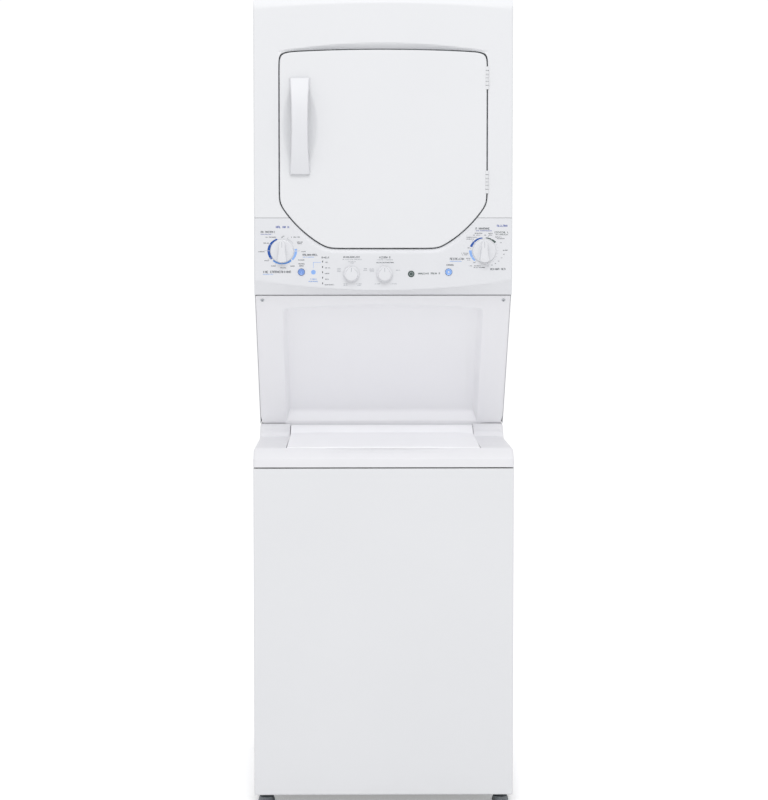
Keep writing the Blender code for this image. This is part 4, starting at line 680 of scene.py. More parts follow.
@dataclass
class TopCover:
    """The moulded top of the washer, with its lid and hinge rod."""

    lip_mm: float = 7.0
    lid_half: float = 0.2245
    gap: float = 0.0025
    scoop_half: float = 0.185
    scoop_deep: float = 0.0038
    crease_sweep: float = 0.020
    low: Vector = field(default_factory=lambda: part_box("washer_top_cover")[0])
    high: Vector = field(default_factory=lambda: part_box("washer_top_cover")[1])

    def riser_shift(self, x: float) -> float:
        """How far the riser's foot comes forward near the lid's sides."""
        return -self.crease_sweep * ramp(abs(x), 0.13, self.lid_half) ** 2

    def scoop(self, x: float) -> float:
        """The finger scoop's share at a place across the front."""
        return 1 - ramp(abs(x), self.scoop_half * 0.35, self.scoop_half)

    def profile(self) -> list[Flat]:
        """The cover's side profile, front to back: upright lip, creased band, deck, riser and shelf."""
        f, base = self.low.y, self.low.z
        points = [(f, base), (f, base + 0.006), (f, base + 0.014)]
        for a in range(7):
            t = a / 6 * 0.9
            points.append((f + 0.0035 * (1 - math.cos(t)) * 1.4, base + 0.0185 + 0.0035 * math.sin(t)))
        steps = 16
        for i in range(1, steps + 1):
            t = i / steps
            y = f + 0.0025 + 0.0290 * t
            points.append((y, base + 0.0222 + 0.0198 * (1.45 * t - 0.45 * t * t)))
        deck, riser = (f + 0.405, base + 0.0285), (f + 0.419, base + 0.041)
        start = points[-1]
        for i in range(1, 25):
            t = i / 24
            points.append((start[0] + (deck[0] - start[0]) * t, start[1] + (deck[1] - start[1]) * t))
        for i in range(1, 9):
            t = i / 8
            points.append((deck[0] + (riser[0] - deck[0]) * t, deck[1] + (riser[1] - deck[1]) * ramp(t, 0, 1)))
        for i in range(1, 9):
            t = i / 8
            points.append((riser[0] + 0.028 * t, riser[1] + (self.high.z - riser[1]) * ramp(t, 0, 1)))
        shelf = points[-1][0]
        points += [(shelf + (self.high.y - shelf) * i / 6, self.high.z) for i in range(1, 7)]
        return points

    def cover(self) -> None:
        """The cover's skin with the lid's recess and its tub mouth."""
        draft, r = Draft(), self.lip_mm * MM
        half, hole = HALF, self.lid_half + self.gap
        xs = spaced(-half, half, 60, [r * (1 - math.cos(a)) for a in (0.25, 0.5, 0.75, 1.0, 1.3)])
        xs = sorted({x for x in xs if abs(abs(x) - hole) > 0.002} | {-hole, hole, -hole - 0.001, hole + 0.001})
        path = self.profile()
        y0, y1 = self.low.y + 0.0315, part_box("washer_lid")[1].y + 0.006
        rows = []
        for i, (y, z) in enumerate(path):
            before, after = Vector(path[max(i - 1, 0)]), Vector(path[min(i + 1, len(path) - 1)])
            along = (after - before).normalized()
            normal = Vector((-along.y, along.x))
            row = []
            for x in xs:
                drop = rolled(half - abs(x), r)
                dip = self.scoop_deep * self.scoop(x) * ramp(
                    y, self.low.y + 0.010, y0 - 0.004
                ) if y <= y0 + 1e-6 else 0.0
                row.append((x, y - normal.x * drop, z - normal.y * drop - dip))
            rows.append(draft.ring(row))
        inner = [i for i, (y, _) in enumerate(path) if y0 - 1e-4 <= y <= y1]
        first, last = inner[0], inner[-1]
        a, b = xs.index(-hole), xs.index(hole)
        for i in range(len(rows) - 1):
            for j in range(len(xs) - 1):
                if first <= i < last and a <= j < b:
                    continue
                draft.bm.faces.new((rows[i][j], rows[i][j + 1], rows[i + 1][j + 1], rows[i + 1][j]))
        rim = [rows[first][j] for j in range(a, b + 1)] + [rows[i][b] for i in range(first + 1, last + 1)]
        rim += [rows[last][j] for j in range(b - 1, a - 1, -1)] + [rows[i][a] for i in range(last - 1, first, -1)]
        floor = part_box("washer_top_cover")[0].z + 0.008
        foot = draft.ring([(v.co.x, v.co.y, floor) for v in rim])
        draft.bridge(rim, foot)
        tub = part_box("tub_cover")
        cy = (tub[0].y + tub[1].y) / 2
        mouth = []
        for v in foot:
            angle = math.atan2(v.co.y - cy, v.co.x)
            limit = (0.025 - cy) / max(math.sin(angle), 0.05)
            reach = min(0.190, limit) if math.sin(angle) > 0 else 0.190
            mouth.append((reach * math.cos(angle), cy + reach * math.sin(angle)))
        lips = [
            draft.ring([(x * k, cy + (y - cy) * k, floor - d) for x, y in mouth]) for k,
            d in ((1.01, 0.0), (1.0, 0.002), (1.0, 0.003))
        ]
        draft.bridge(foot, lips[0])
        draft.bridge(lips[0], lips[1])
        draft.bridge(lips[1], lips[2])
        for side in (0, -1):
            edge = [row[side] for row in rows]
            under = draft.ring([(v.co.x, max(v.co.y, self.low.y + r), self.low.z) for v in edge])
            draft.bridge(edge, under, closed=False)
        back = draft.ring([(v.co.x, v.co.y, self.low.z) for v in rows[-1]])
        draft.bridge(rows[-1], back, closed=False)
        # The cover's white is painted lighter than the fascia's ABS: painted light on the cover.
        draft.done("washer_cover", PAINTED_LIGHT_COVER_ABS, "cabinet", "white moulding", ["washer_top_cover"], sharp=50)

    def lid(self) -> None:
        """The lid: a nearly flat plate that turns up into a strip along its hinge."""
        low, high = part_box("washer_lid")
        draft, r = Draft(), 0.0016
        xs = spaced(-self.lid_half, self.lid_half, 60, [0.0002, 0.0006, r, 0.003])
        front, rear, deck = low.y, high.y, self.low.z + 0.0432
        riser = self.low.y + 0.405
        shares = spaced(0.0, 1.0, 26)
        rows = []
        for k in range(7):
            t = k / 6 * math.pi / 2
            rows.append(
                [
                    (x, front + 0.003 * (1 - math.cos(t)) + 0.006 * self.scoop(x), deck - 0.003 + 0.003 * math.sin(t))
                    for x in xs
                ]
            )
        for t in shares[1:]:
            rows.append(
                [
                    (
                        x,
                        front + 0.003 + (
                            riser + self.riser_shift(x) - front - 0.003
                        ) * t + 0.006 * self.scoop(x) * (1 - t),
                        deck - 0.0035 * t
                    )
                    for x in xs
                ]
            )
        for k in range(1, 13):
            t = k / 12
            rows.append(
                [
                    (
                        x, riser + self.riser_shift(x) * (1 - t) + (rear - 0.012 - riser) * t,
                        deck - 0.0035 + (high.z - deck + 0.0035) * ramp(t, -0.25, 1.0)
                    )
                    for x in xs
                ]
            )
        rows.append([(x, rear - 0.003, high.z) for x in xs])
        rows.append([(x, rear, high.z - 0.002) for x in xs])
        bent = []
        for row in rows:
            bent.append([(x, y, z - rolled(self.lid_half - abs(x), r)) for x, y, z in row])
        made = draft.tube(bent, closed=False)
        bottom = low.z
        loop = made[0] + [row[-1] for row in made[1:]] + made[-1][-2::-1] + [row[0] for row in made[-2:0:-1]]
        under = draft.ring([(v.co.x, v.co.y, bottom if v.co.y < rear - 0.02 else bottom + 0.006) for v in loop])
        draft.bridge(loop, under)
        inside = draft.ring([(v.co.x * 0.988, min(max(v.co.y, front + 0.003), rear - 0.003), v.co.z) for v in under])
        draft.bridge(under, inside)
        roof = draft.ring([(v.co.x, v.co.y, deck - 0.0065) for v in inside])
        draft.bridge(inside, roof)
        draft.bm.faces.new(roof)
        # The lid's white is painted lighter than the other ABS: painted light on its face.
        draft.done("lid", PAINTED_LIGHT_ABS, "lid", "white moulding", ["washer_lid"], sharp=42)

    def build(self) -> None:
        """Builds the cover and the lid."""
        self.cover()
        self.lid()
        dress_node("lid_hinge_rod", BRIGHT_ZINC)


@dataclass
class Stand:
    """The sloping panel between washer and dryer, with the recess that takes the open lid."""

    foot: Flat = (0.065, 0.8526)
    head: Flat = (-0.2579, 1.1866)
    half: float = 0.2994
    recess_half: float = 0.2365
    recess_deep: float = 0.020
    arch: float = 0.015
    corner: float = 0.010

    def frame_matrix(self) -> Matrix:
        """The panel's own axes: across, up the slope and into the panel."""
        foot, head = Vector(self.foot), Vector(self.head)
        up = (head - foot).normalized()
        return Matrix(((1, 0, 0, 0), (0, up.x, up.y, foot.x), (0, up.y, -up.x, foot.y), (0, 0, 0, 1)))

    def outline(self, inset: float) -> list[Flat]:
        """The recess's edge, moved inwards: straight sides, an arched head and rounded corners."""
        long = (Vector(self.head) - Vector(self.foot)).length
        half = self.recess_half - inset
        top, low, r = long - 0.0455 - inset * 0.5, 0.006 + inset * 2.2, self.corner
        points = [(-half + 2 * half * i / 24, low) for i in range(25)]
        points += [(half, low + (top - r - low) * i / 18) for i in range(1, 19)]
        for i in range(1, 7):
            a = math.pi / 2 * i / 6
            points.append((half - r + r * math.cos(a), top - r + r * math.sin(a)))
        for i in range(1, 40):
            u = 1 - 2 * i / 40
            x = (half - r) * u
            points.append((x, top + self.arch * (1 - (x / (half - r)) ** 2)))
        for i in range(0, 6):
            a = math.pi / 2 * (1 + i / 6)
            points.append((-half + r + r * math.cos(a), top - r + r * math.sin(a)))
        points += [(-half, top - r - (top - r - low) * i / 18) for i in range(0, 18)]
        return points

    def panel(self) -> None:
        """The pressed panel, as rings from its edge to the floor of the recess."""
        draft, matrix = Draft(), self.frame_matrix()
        long = (Vector(self.head) - Vector(self.foot)).length
        edge = self.outline(-0.003)
        outer = []
        for u, v in edge:
            k = max(abs(u) / self.half, abs(v - long / 2) / (long / 2 - 0.001))
            outer.append((u / k, long / 2 + (v - long / 2) / k))
        rings = [[(u, v, 0.003) for u, v in outer], [(u, v, 0.0) for u, v in outer]]
        rings.append([((a + e) / 2, (b + f) / 2, 0.0) for (a, b), (e, f) in zip(outer, edge)])
        rings.append([(u, v, 0.0) for u, v in self.outline(-0.003)])
        for inset, deep in (
            (-0.001, 0.0003), (0.0005, 0.0014), (0.002, 0.0038), (0.0065, 0.0145), (0.0085, 0.0180), (0.0105, 0.0196),
            (0.013, 0.020)
        ):
            rings.append([(u, v, deep) for u, v in self.outline(inset)])
        rings.append([(u * 0.94, 0.03 + (v - 0.03) * 0.97, 0.020) for u, v in self.outline(0.013)])
        rings = [[self.eased(p, long) for p in ring] for ring in rings]
        made = draft.tube([[matrix @ Vector(p) for p in ring] for ring in rings], caps=False)
        draft.bm.faces.new(made[-1])
        # The slope panel's white is painted lighter than the other enamel: painted light for the shade under the dryer.
        draft.done("slope_panel", PAINTED_LIGHT_ENAMEL, "cabinet", "white enamel", ["sloping_panel"], wall_mm=0.8)

    def eased(self, point: Solid, long: float) -> Solid:
        """A point of the recess, made shallower and longer in its slope near the recess's top."""
        u, v, deep = point
        share = ramp(v, long * 0.35, long * 0.93)
        longer = 0.008 + 0.014 * (1 - min(abs(u) / self.recess_half, 1.0) ** 2)
        return (
            u, v - share * longer * min(deep / 0.020, 1.0) * (deep != 0.003),
            deep * (1 - 0.30 * share) if deep != 0.003 else deep
        )

    def screws(self) -> None:
        """Two pan-head screws with a cross recess, near the panel's upper corners."""
        matrix = self.frame_matrix()
        long = (Vector(self.head) - Vector(self.foot)).length
        for side, x in (("left", -0.284), ("right", 0.284)):
            draft = Draft()
            rings = []
            for radius, height in ((0.0045, 0.0), (0.0045, 0.0006), (0.0038, 0.0018), (0.0022, 0.0026)):
                rings.append(
                    [
                        matrix @ Vector(
                            (
                                x + radius * math.cos(math.tau * i / 24),
                                long - 0.016 + radius * math.sin(math.tau * i / 24), -height
                            )
                        )
                        for i in range(24)
                    ]
                )
            draft.tube(rings)
            draft.done(f"slope_screw_{side}", BRIGHT_ZINC, "cabinet", "galvanised steel")
            # The cross recess is not cut: a dark cross stands proud of the head as painted shade.
            cross = Draft()
            for wide, tall in ((0.0019, 0.0005), (0.0005, 0.0019)):
                ring = [
                    (x - wide, long - 0.016 - tall), (x + wide, long - 0.016 - tall), (x + wide, long - 0.016 + tall),
                    (x - wide, long - 0.016 + tall)
                ]
                cross.tube([[matrix @ Vector((u, v, -w)) for u, v in ring] for w in (0.0022, 0.00275)])
            cross.done(f"slope_screw_recess_shade_{side}", DARK_PP_AND_PAINTED_SHADE, "cabinet", "grey plastic")

    def build(self) -> None:
        """Builds the panel and its screws."""
        self.panel()
        self.screws()


@dataclass
class DryerFront:
    """The dryer's steel front and the moulded fascia, which meet at a seam and ring the door."""

    seam: float = 0.0003
    gap: float = 0.003
    band_centre: float = 1.8669
    band_end: float = 1.8516
    crescent_top: float = 1.775
    crescent_half: float = 0.222
    foot_centre: float = 1.2012
    foot_end: float = 1.2259

    def edge_roll(self, x: float) -> float:
        """The rounded upright edges of both pieces."""
        return rolled(HALF - abs(x), 0.004)

    def crown_depth(self, x: float, z: float) -> float:
        """How far the steel front lies behind its face: the top band, the crescent and the rolled edges."""
        deep = self.edge_roll(x)
        band = self.band_end + (self.band_centre - self.band_end) * (1 - (x / HALF) ** 2)
        if z > band:
            t = (z - band) / (CROWN_HIGH.z - band)
            deep = max(deep, 0.0135 * (0.5 * t + 0.5 * t**3))
        arch = self.crescent_top - (self.crescent_top - 1.7585) * (x / self.crescent_half) ** 2
        edge = AXIS_Z + OUTLINE.top - OUTLINE.arch * min(abs(x) / OUTLINE.half, 1.0) ** 2 + self.gap
        if edge - 0.004 < z < arch:
            deep = max(deep, 0.0130 * min((arch - z) / max(arch - edge, 0.0008), 1.0) * min((arch - edge) / 0.010, 1.0))
        if z < AXIS_Z + OUTLINE.top - 0.01:
            deep += rolled(OUTLINE.depth_inside(x, z) - self.gap, 0.0015)
        return deep + rolled(z - CROWN_LOW.z, 0.001)

    def fascia_depth(self, x: float, z: float) -> float:
        """How far the fascia lies behind its face: the turned-under foot, the lip round the door, the edges."""
        deep = self.edge_roll(x)
        crease = self.foot_centre + (self.foot_end - self.foot_centre) * (x / HALF) ** 2
        if z < crease:
            t = (crease - z) / (crease - FASCIA_LOW.z)
            deep = max(deep, 0.0138 * t * min(t / 0.12, 1.0))
        lip = OUTLINE.depth_inside(x, z) - self.gap
        strength = ramp(-(z - FASCIA_HIGH.z), 0.0, 0.05)
        if lip < 0.0125:
            deep += 0.0050 * strength * (1 - ramp(lip, -0.012, 0.0125)) * 1.6
        return deep + rolled(lip, 0.001) + rolled(FASCIA_HIGH.z - z, 0.001)

    def ring_piece(
        self, name: str, start: float, end: float, low: float, high: float, depth: Callable[[float, float], float]
    ) -> Draft:
        """A plate between the door's hole and a rectangle.

        Args:
            name: what it becomes, for the log.
            start: height of the seam at which the sweep starts and ends.
            end: 1 to sweep over the top, -1 to sweep under the door.
            low: the rectangle's lower edge.
            high: the rectangle's upper edge.
            depth: how far the face lies back at x and z.

        Returns:
            The draft, with its returns.
        """
        draft = Draft()
        over = end > 0
        inner_x = OUTLINE.half + self.gap
        a_in = math.atan2(start - AXIS_Z, inner_x)
        for _ in range(30):
            x, z = OUTLINE.point(a_in, self.gap)
            a_in += (start - z) / 0.30
        a_out = math.atan2(start - AXIS_Z, HALF)
        span_in = math.pi - 2 * a_in if over else -(math.pi + 2 * a_in)
        span_out = math.pi - 2 * a_out if over else -(math.pi + 2 * a_out)
        corner = math.atan2((high if over else low) - AXIS_Z, HALF)
        shares = set(spaced(0.0, 1.0, 460, [0.0004, 0.0008, 0.0012]))
        c = (corner - a_out) / span_out
        shares |= {c, 1 - c}
        steps = spaced(0.0, 1.0, 44, [0.003, 0.007, 0.012, 0.018])
        rows: list[list] = []
        for t in sorted(shares):
            ix, iz = OUTLINE.point(a_in + span_in * t, self.gap)
            angle = a_out + span_out * t
            dx, dz = math.cos(angle), math.sin(angle)
            reach = min(
                HALF / max(abs(dx), 1e-6), (high - AXIS_Z) / dz if over and dz > 1e-6 else 1e9,
                (AXIS_Z - low) / -dz if dz < -1e-6 else 1e9
            )
            ox, oz = reach * dx, AXIS_Z + reach * dz
            row = []
            for s in steps:
                px, pz = ix + (ox - ix) * s, iz + (oz - iz) * s
                row.append((px, FACE_Y + depth(px, pz), pz))
            rows.append(row)
        made = draft.tube(rows, closed=False)
        loop = made[0] + [row[-1] for row in made[1:]] + made[-1][-2::-1] + [row[0] for row in made[-2:0:-1]]
        back = draft.ring([(v.co.x, PAN_BACK, v.co.z) for v in loop])
        draft.bridge(loop, back)
        LOG.info("shaped %s", name)
        return draft

    def build(self) -> None:
        """Builds both pieces and dresses the top and the upper cabinet."""
        crown = self.ring_piece("crown", CROWN_LOW.z, 1, CROWN_LOW.z, CROWN_HIGH.z, self.crown_depth)
        crown.done("dryer_front", WHITE_ENAMEL, "cabinet", "white enamel", ["dryer_front_panel"], sharp=24)
        fascia = self.ring_piece("fascia", FASCIA_HIGH.z, -1, FASCIA_LOW.z, FASCIA_HIGH.z, self.fascia_depth)
        for node in ("extra_rinse_button", "start_button"):
            low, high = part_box(node)
            fascia.bore(((low.x + high.x) / 2, (low.z + high.z) / 2), 0.0084)
        fascia.done("control_fascia", WHITE_ABS, "cabinet", "white moulding", ["control_panel"], sharp=24)
        dress_node("dryer_top_panel", WHITE_ENAMEL)
        dress_node("upper_cabinet", WHITE_ENAMEL)


@dataclass
class DryerDoor:
    """The dryer's door: outer skin with a dish, liner, handle and hinge leaves."""

    handle_x: float = -0.1938
    handle_z: float = AXIS_Z + 0.0325
    dish: Flat = (0.041, 0.096)
    dish_deep: float = 0.0128
    edge: float = 0.0022

    def skin(self) -> None:
        """The outer skin as rings from its edge to its middle, with the dish pressed in."""
        draft = Draft()
        count = 480
        angles = [math.tau * i / count for i in range(count)]
        y0 = DOOR_LOW.y
        rings = [[(x, DOOR_HIGH.y, z) for x, z in (OUTLINE.point(a) for a in angles)]]
        rings.append([(x, y0 + self.edge, z) for x, z in (OUTLINE.point(a) for a in angles)])
        for k in (0.35, 0.7, 1.05, 1.35, math.pi / 2):
            inset = self.edge * (1 - math.cos(k))
            rings.append(
                [(x, y0 + self.edge * (1 - math.sin(k)), z) for x, z in (OUTLINE.point(a, -inset) for a in angles)]
            )
        inner = [OUTLINE.point(a, -self.edge - 0.001) for a in angles]
        for i in range(70):
            k = 1 - i / 70
            ring = []
            for x, z in inner:
                px, pz = x * k, AXIS_Z + (z - AXIS_Z) * k
                r = math.hypot((px - self.handle_x) / self.dish[0], (pz - self.handle_z) / self.dish[1])
                bowl = self.dish_deep * (1 - min(r, 1.0) ** 2) ** 1.25
                ring.append((px, y0 + bowl, pz))
            rings.append(ring)
        made = draft.tube(rings, caps=False)
        tip = draft.bm.verts.new((0.0, y0, AXIS_Z))
        last = made[-1]
        for i in range(count):
            draft.bm.faces.new((last[i], last[(i + 1) % count], tip))
        draft.done("door_skin", WHITE_ENAMEL, "door", "white enamel", ["door_outer_panel"], sharp=40)

    def handle(self) -> None:
        """A bowed bar with slanted sides that bridges the dish."""
        low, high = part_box("door_handle")
        face, tall = high.y, (high.z - low.z) / 2
        mid, count = (low.z + high.z) / 2, 28
        centre = (low.x + high.x) / 2
        half = (high.x - low.x) / 2
        front = []
        for i in range(count + 1):
            t = 2 * i / count - 1
            front.append((mid + t * tall, face - 0.010 - (face - low.y - 0.010) * (1 - t * t)))
        under = [(z, min(y + 0.009, face)) for z, y in front if abs(z - mid) < tall * 0.78]
        path = front + [
            (front[-1][0], face), (mid + tall * 0.80, face)
        ] + under[::-1] + [(mid - tall * 0.80, face), (front[0][0], face)]
        draft = Draft()
        sides = []
        for sign in (-1, 1):
            sides.append([(centre + sign * (half - 0.20 * (face - y)), y, z) for z, y in path])
        draft.tube(sides)
        draft.done("handle_bar", WHITE_ABS, "door", "white moulding", ["door_handle"], bevel_mm=2.0)

    def knuckles(self, place: str) -> None:
        """The joints between one hinge's knuckles, as thin dark rings round its barrel."""
        low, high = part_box(f"door_hinge_{place}_moving_leaf")
        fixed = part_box(f"door_hinge_{place}_fixed_leaf")
        bottom, top = min(low.z, fixed[0].z), max(high.z, fixed[1].z)
        draft = Draft()
        for i in range(1, 6):
            z = bottom + (top - bottom) * i / 6
            ring = [
                (0.2415 + 0.00408 * math.cos(math.tau * k / 24), -0.2935 + 0.00408 * math.sin(math.tau * k / 24))
                for k in range(24)
            ]
            draft.tube([[(x, y, z - 0.00035) for x, y in ring], [(x, y, z + 0.00035) for x, y in ring]])
        # Dark rings laid on the barrel: painted shade for the gaps between the knuckles.
        draft.done(f"hinge_knuckle_gap_shade_{place}", DARK_PP_AND_PAINTED_SHADE, "cabinet", "grey plastic")

    def build(self) -> None:
        """Builds the skin and the handle, and dresses the rest."""
        self.skin()
        self.handle()
        dress_node("door_inner_panel", WHITE_ABS)
        for place in ("upper", "lower"):
            dress_node(f"door_hinge_{place}_fixed_leaf", WHITE_ENAMEL)
            dress_node(f"door_hinge_{place}_moving_leaf", WHITE_ENAMEL)
            self.knuckles(place)


@dataclass
class Dial:
    """A turning knob with a skirt, a raised grip and a pointer line."""

    node: str
    body: str
    skirt: float
    out: float

    def place(self) -> Solid:
        """The knob's centre on the fascia's face."""
        low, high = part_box(self.node)
        return ((low.x + high.x) / 2, FACE_Y - 0.0006, (low.z + high.z) / 2)

    def grip_outline(self) -> list[Flat]:
        """The grip's outline about the knob's centre; each kind of knob has its own."""
        raise NotImplementedError

    def grip(self, outline: Sequence[Flat], base: float, tip: float, slim: float) -> None:
        """A raised grip with a rounded edge.

        Args:
            outline: the edge at its base.
            base: where it starts, out from the fascia.
            tip: where it ends.
            slim: how much narrower it is at its tip.
        """
        cx, cy, cz = self.place()
        draft = Draft()
        rings = []
        levels = [(0.0, 0.0), (0.35, 0.30), (0.7, 0.62), (0.86, 0.8), (0.95, 1.0), (0.99, 1.35), (1.0, 1.9)]
        for share, shrink in levels:
            ring = []
            for x, z in outline:
                reach = math.hypot(x, z) or 1e-9
                k = max(1 - slim * shrink / reach, 0.05)
                ring.append((cx + x * k, cy - base - (tip - base) * share, cz + z * k))
            rings.append(ring)
        draft.tube(rings)
        draft.done(f"{self.node}_grip", WHITE_ABS, self.body, "white moulding", sharp=50)

    def base(self) -> None:
        """The round skirt, which stands for the CAD knob."""
        centre = self.place()
        r = self.skirt
        draft = Draft()
        profile = [
            (r * 0.90, 0.0), (r - 0.0008, 0.0), (r, 0.0008), (r, 0.0030), (r - 0.0006, 0.0042), (r - 0.0020, 0.0048)
        ]
        profile += [(r * 0.80, 0.0054), (r * 0.5, 0.0060), (0.002, 0.0062)]
        draft.turned(profile, centre, steps=72)
        draft.done(f"{self.node}_skirt", WHITE_ABS, self.body, "white moulding", [self.node])

    def pointer(self, low: float, high: float, out: float, wide: float = 0.0009, lean: float = 0.0) -> None:
        """The printed line that shows where the knob stands.

        Args:
            low: its lower end, from the knob's centre.
            high: its upper end.
            out: how far it lies in front of the fascia.
            wide: its width.
            lean: how much further in its top lies.
        """
        cx, cy, cz = self.place()
        draft = Draft()
        for a, b in (((-wide / 2, low), (wide / 2, high)),):
            front = [
                (cx + a[0], cy - out, cz + a[1]), (cx + b[0], cy - out, cz + a[1]),
                (cx + b[0], cy - out + lean, cz + b[1]), (cx + a[0], cy - out + lean, cz + b[1])
            ]
            draft.tube([front, [(x, y + 0.0004, z) for x, y, z in front]])
        draft.done(f"{self.node}_pointer", PALE_GREY, self.body, "grey plastic")

    def build(self) -> None:
        """Builds the whole knob."""
        raise NotImplementedError


@dataclass
class CycleDial(Dial):
    """A large knob with an upright grip bar, slim at its top and full at its foot."""

    def grip_outline(self) -> list[Flat]:
        """A long bar: rounded top, waisted sides, round foot."""
        r = self.skirt
        right = [
            (0.0, r * 0.90), (0.0035, r * 0.885), (0.0062, r * 0.80), (0.0076, r * 0.62), (0.0084, r * 0.2),
            (0.0092, -r * 0.3)
        ]
        right += [
            (0.0104, -r * 0.62), (0.0112, -r * 0.78), (0.0104, -r * 0.90), (0.0075, -r * 0.965), (0.0038, -r * 0.99),
            (0.0, -r)
        ]
        dense = []
        for (x0, z0), (x1, z1) in zip(right, right[1:]):
            dense += [(x0 + (x1 - x0) * i / 4, z0 + (z1 - z0) * i / 4) for i in range(4)]
        dense.append(right[-1])
        return dense + [(-x, z) for x, z in dense[-2:0:-1]]

    def build(self) -> None:
        """Skirt, grip bar and pointer."""
        self.base()
        self.grip(self.grip_outline(), 0.0040, self.out, 0.0012)
        self.pointer(self.skirt * 0.30, self.skirt * 0.80, self.out + 0.0001)


@dataclass
class SelectorDial(Dial):
    """A small knob whose grip is a drop: round below, drawn to a point at the top."""

    def grip_outline(self) -> list[Flat]:
        """A round foot whose sides run up to a pointed arch."""
        r = self.skirt * 0.88
        points = []
        for i in range(49):
            a = -math.pi / 2 + math.pi * i / 48
            lift = max(math.sin(a), 0.0)
            points.append((r * math.cos(a) * (1 - 0.10 * lift), r * math.sin(a) * (1 + 0.12 * lift**2)))
        right = points
        sharpened = [(x * (1 - 0.28 * max(z / r, 0.0)), z) for x, z in right]
        return sharpened + [(-x, z) for x, z in sharpened[-2:0:-1]]

    def build(self) -> None:
        """Skirt, drop-shaped grip and pointer."""
        self.base()
        self.grip(self.grip_outline(), 0.0040, self.out, 0.0014)
        self.pointer(self.skirt * 0.30, self.skirt * 0.82, self.out + 0.0001, 0.0011)


class Ink(Enum):
    """The inks that the fascia is printed with."""

    GREY = LINE_GREY
    PALE = PALE_GREY
    ROYAL = ROYAL
    DEEP = DEEP_BLUE
    MID = MID_BLUE
    SOFT = SOFT_BLUE
    FOREST = FOREST


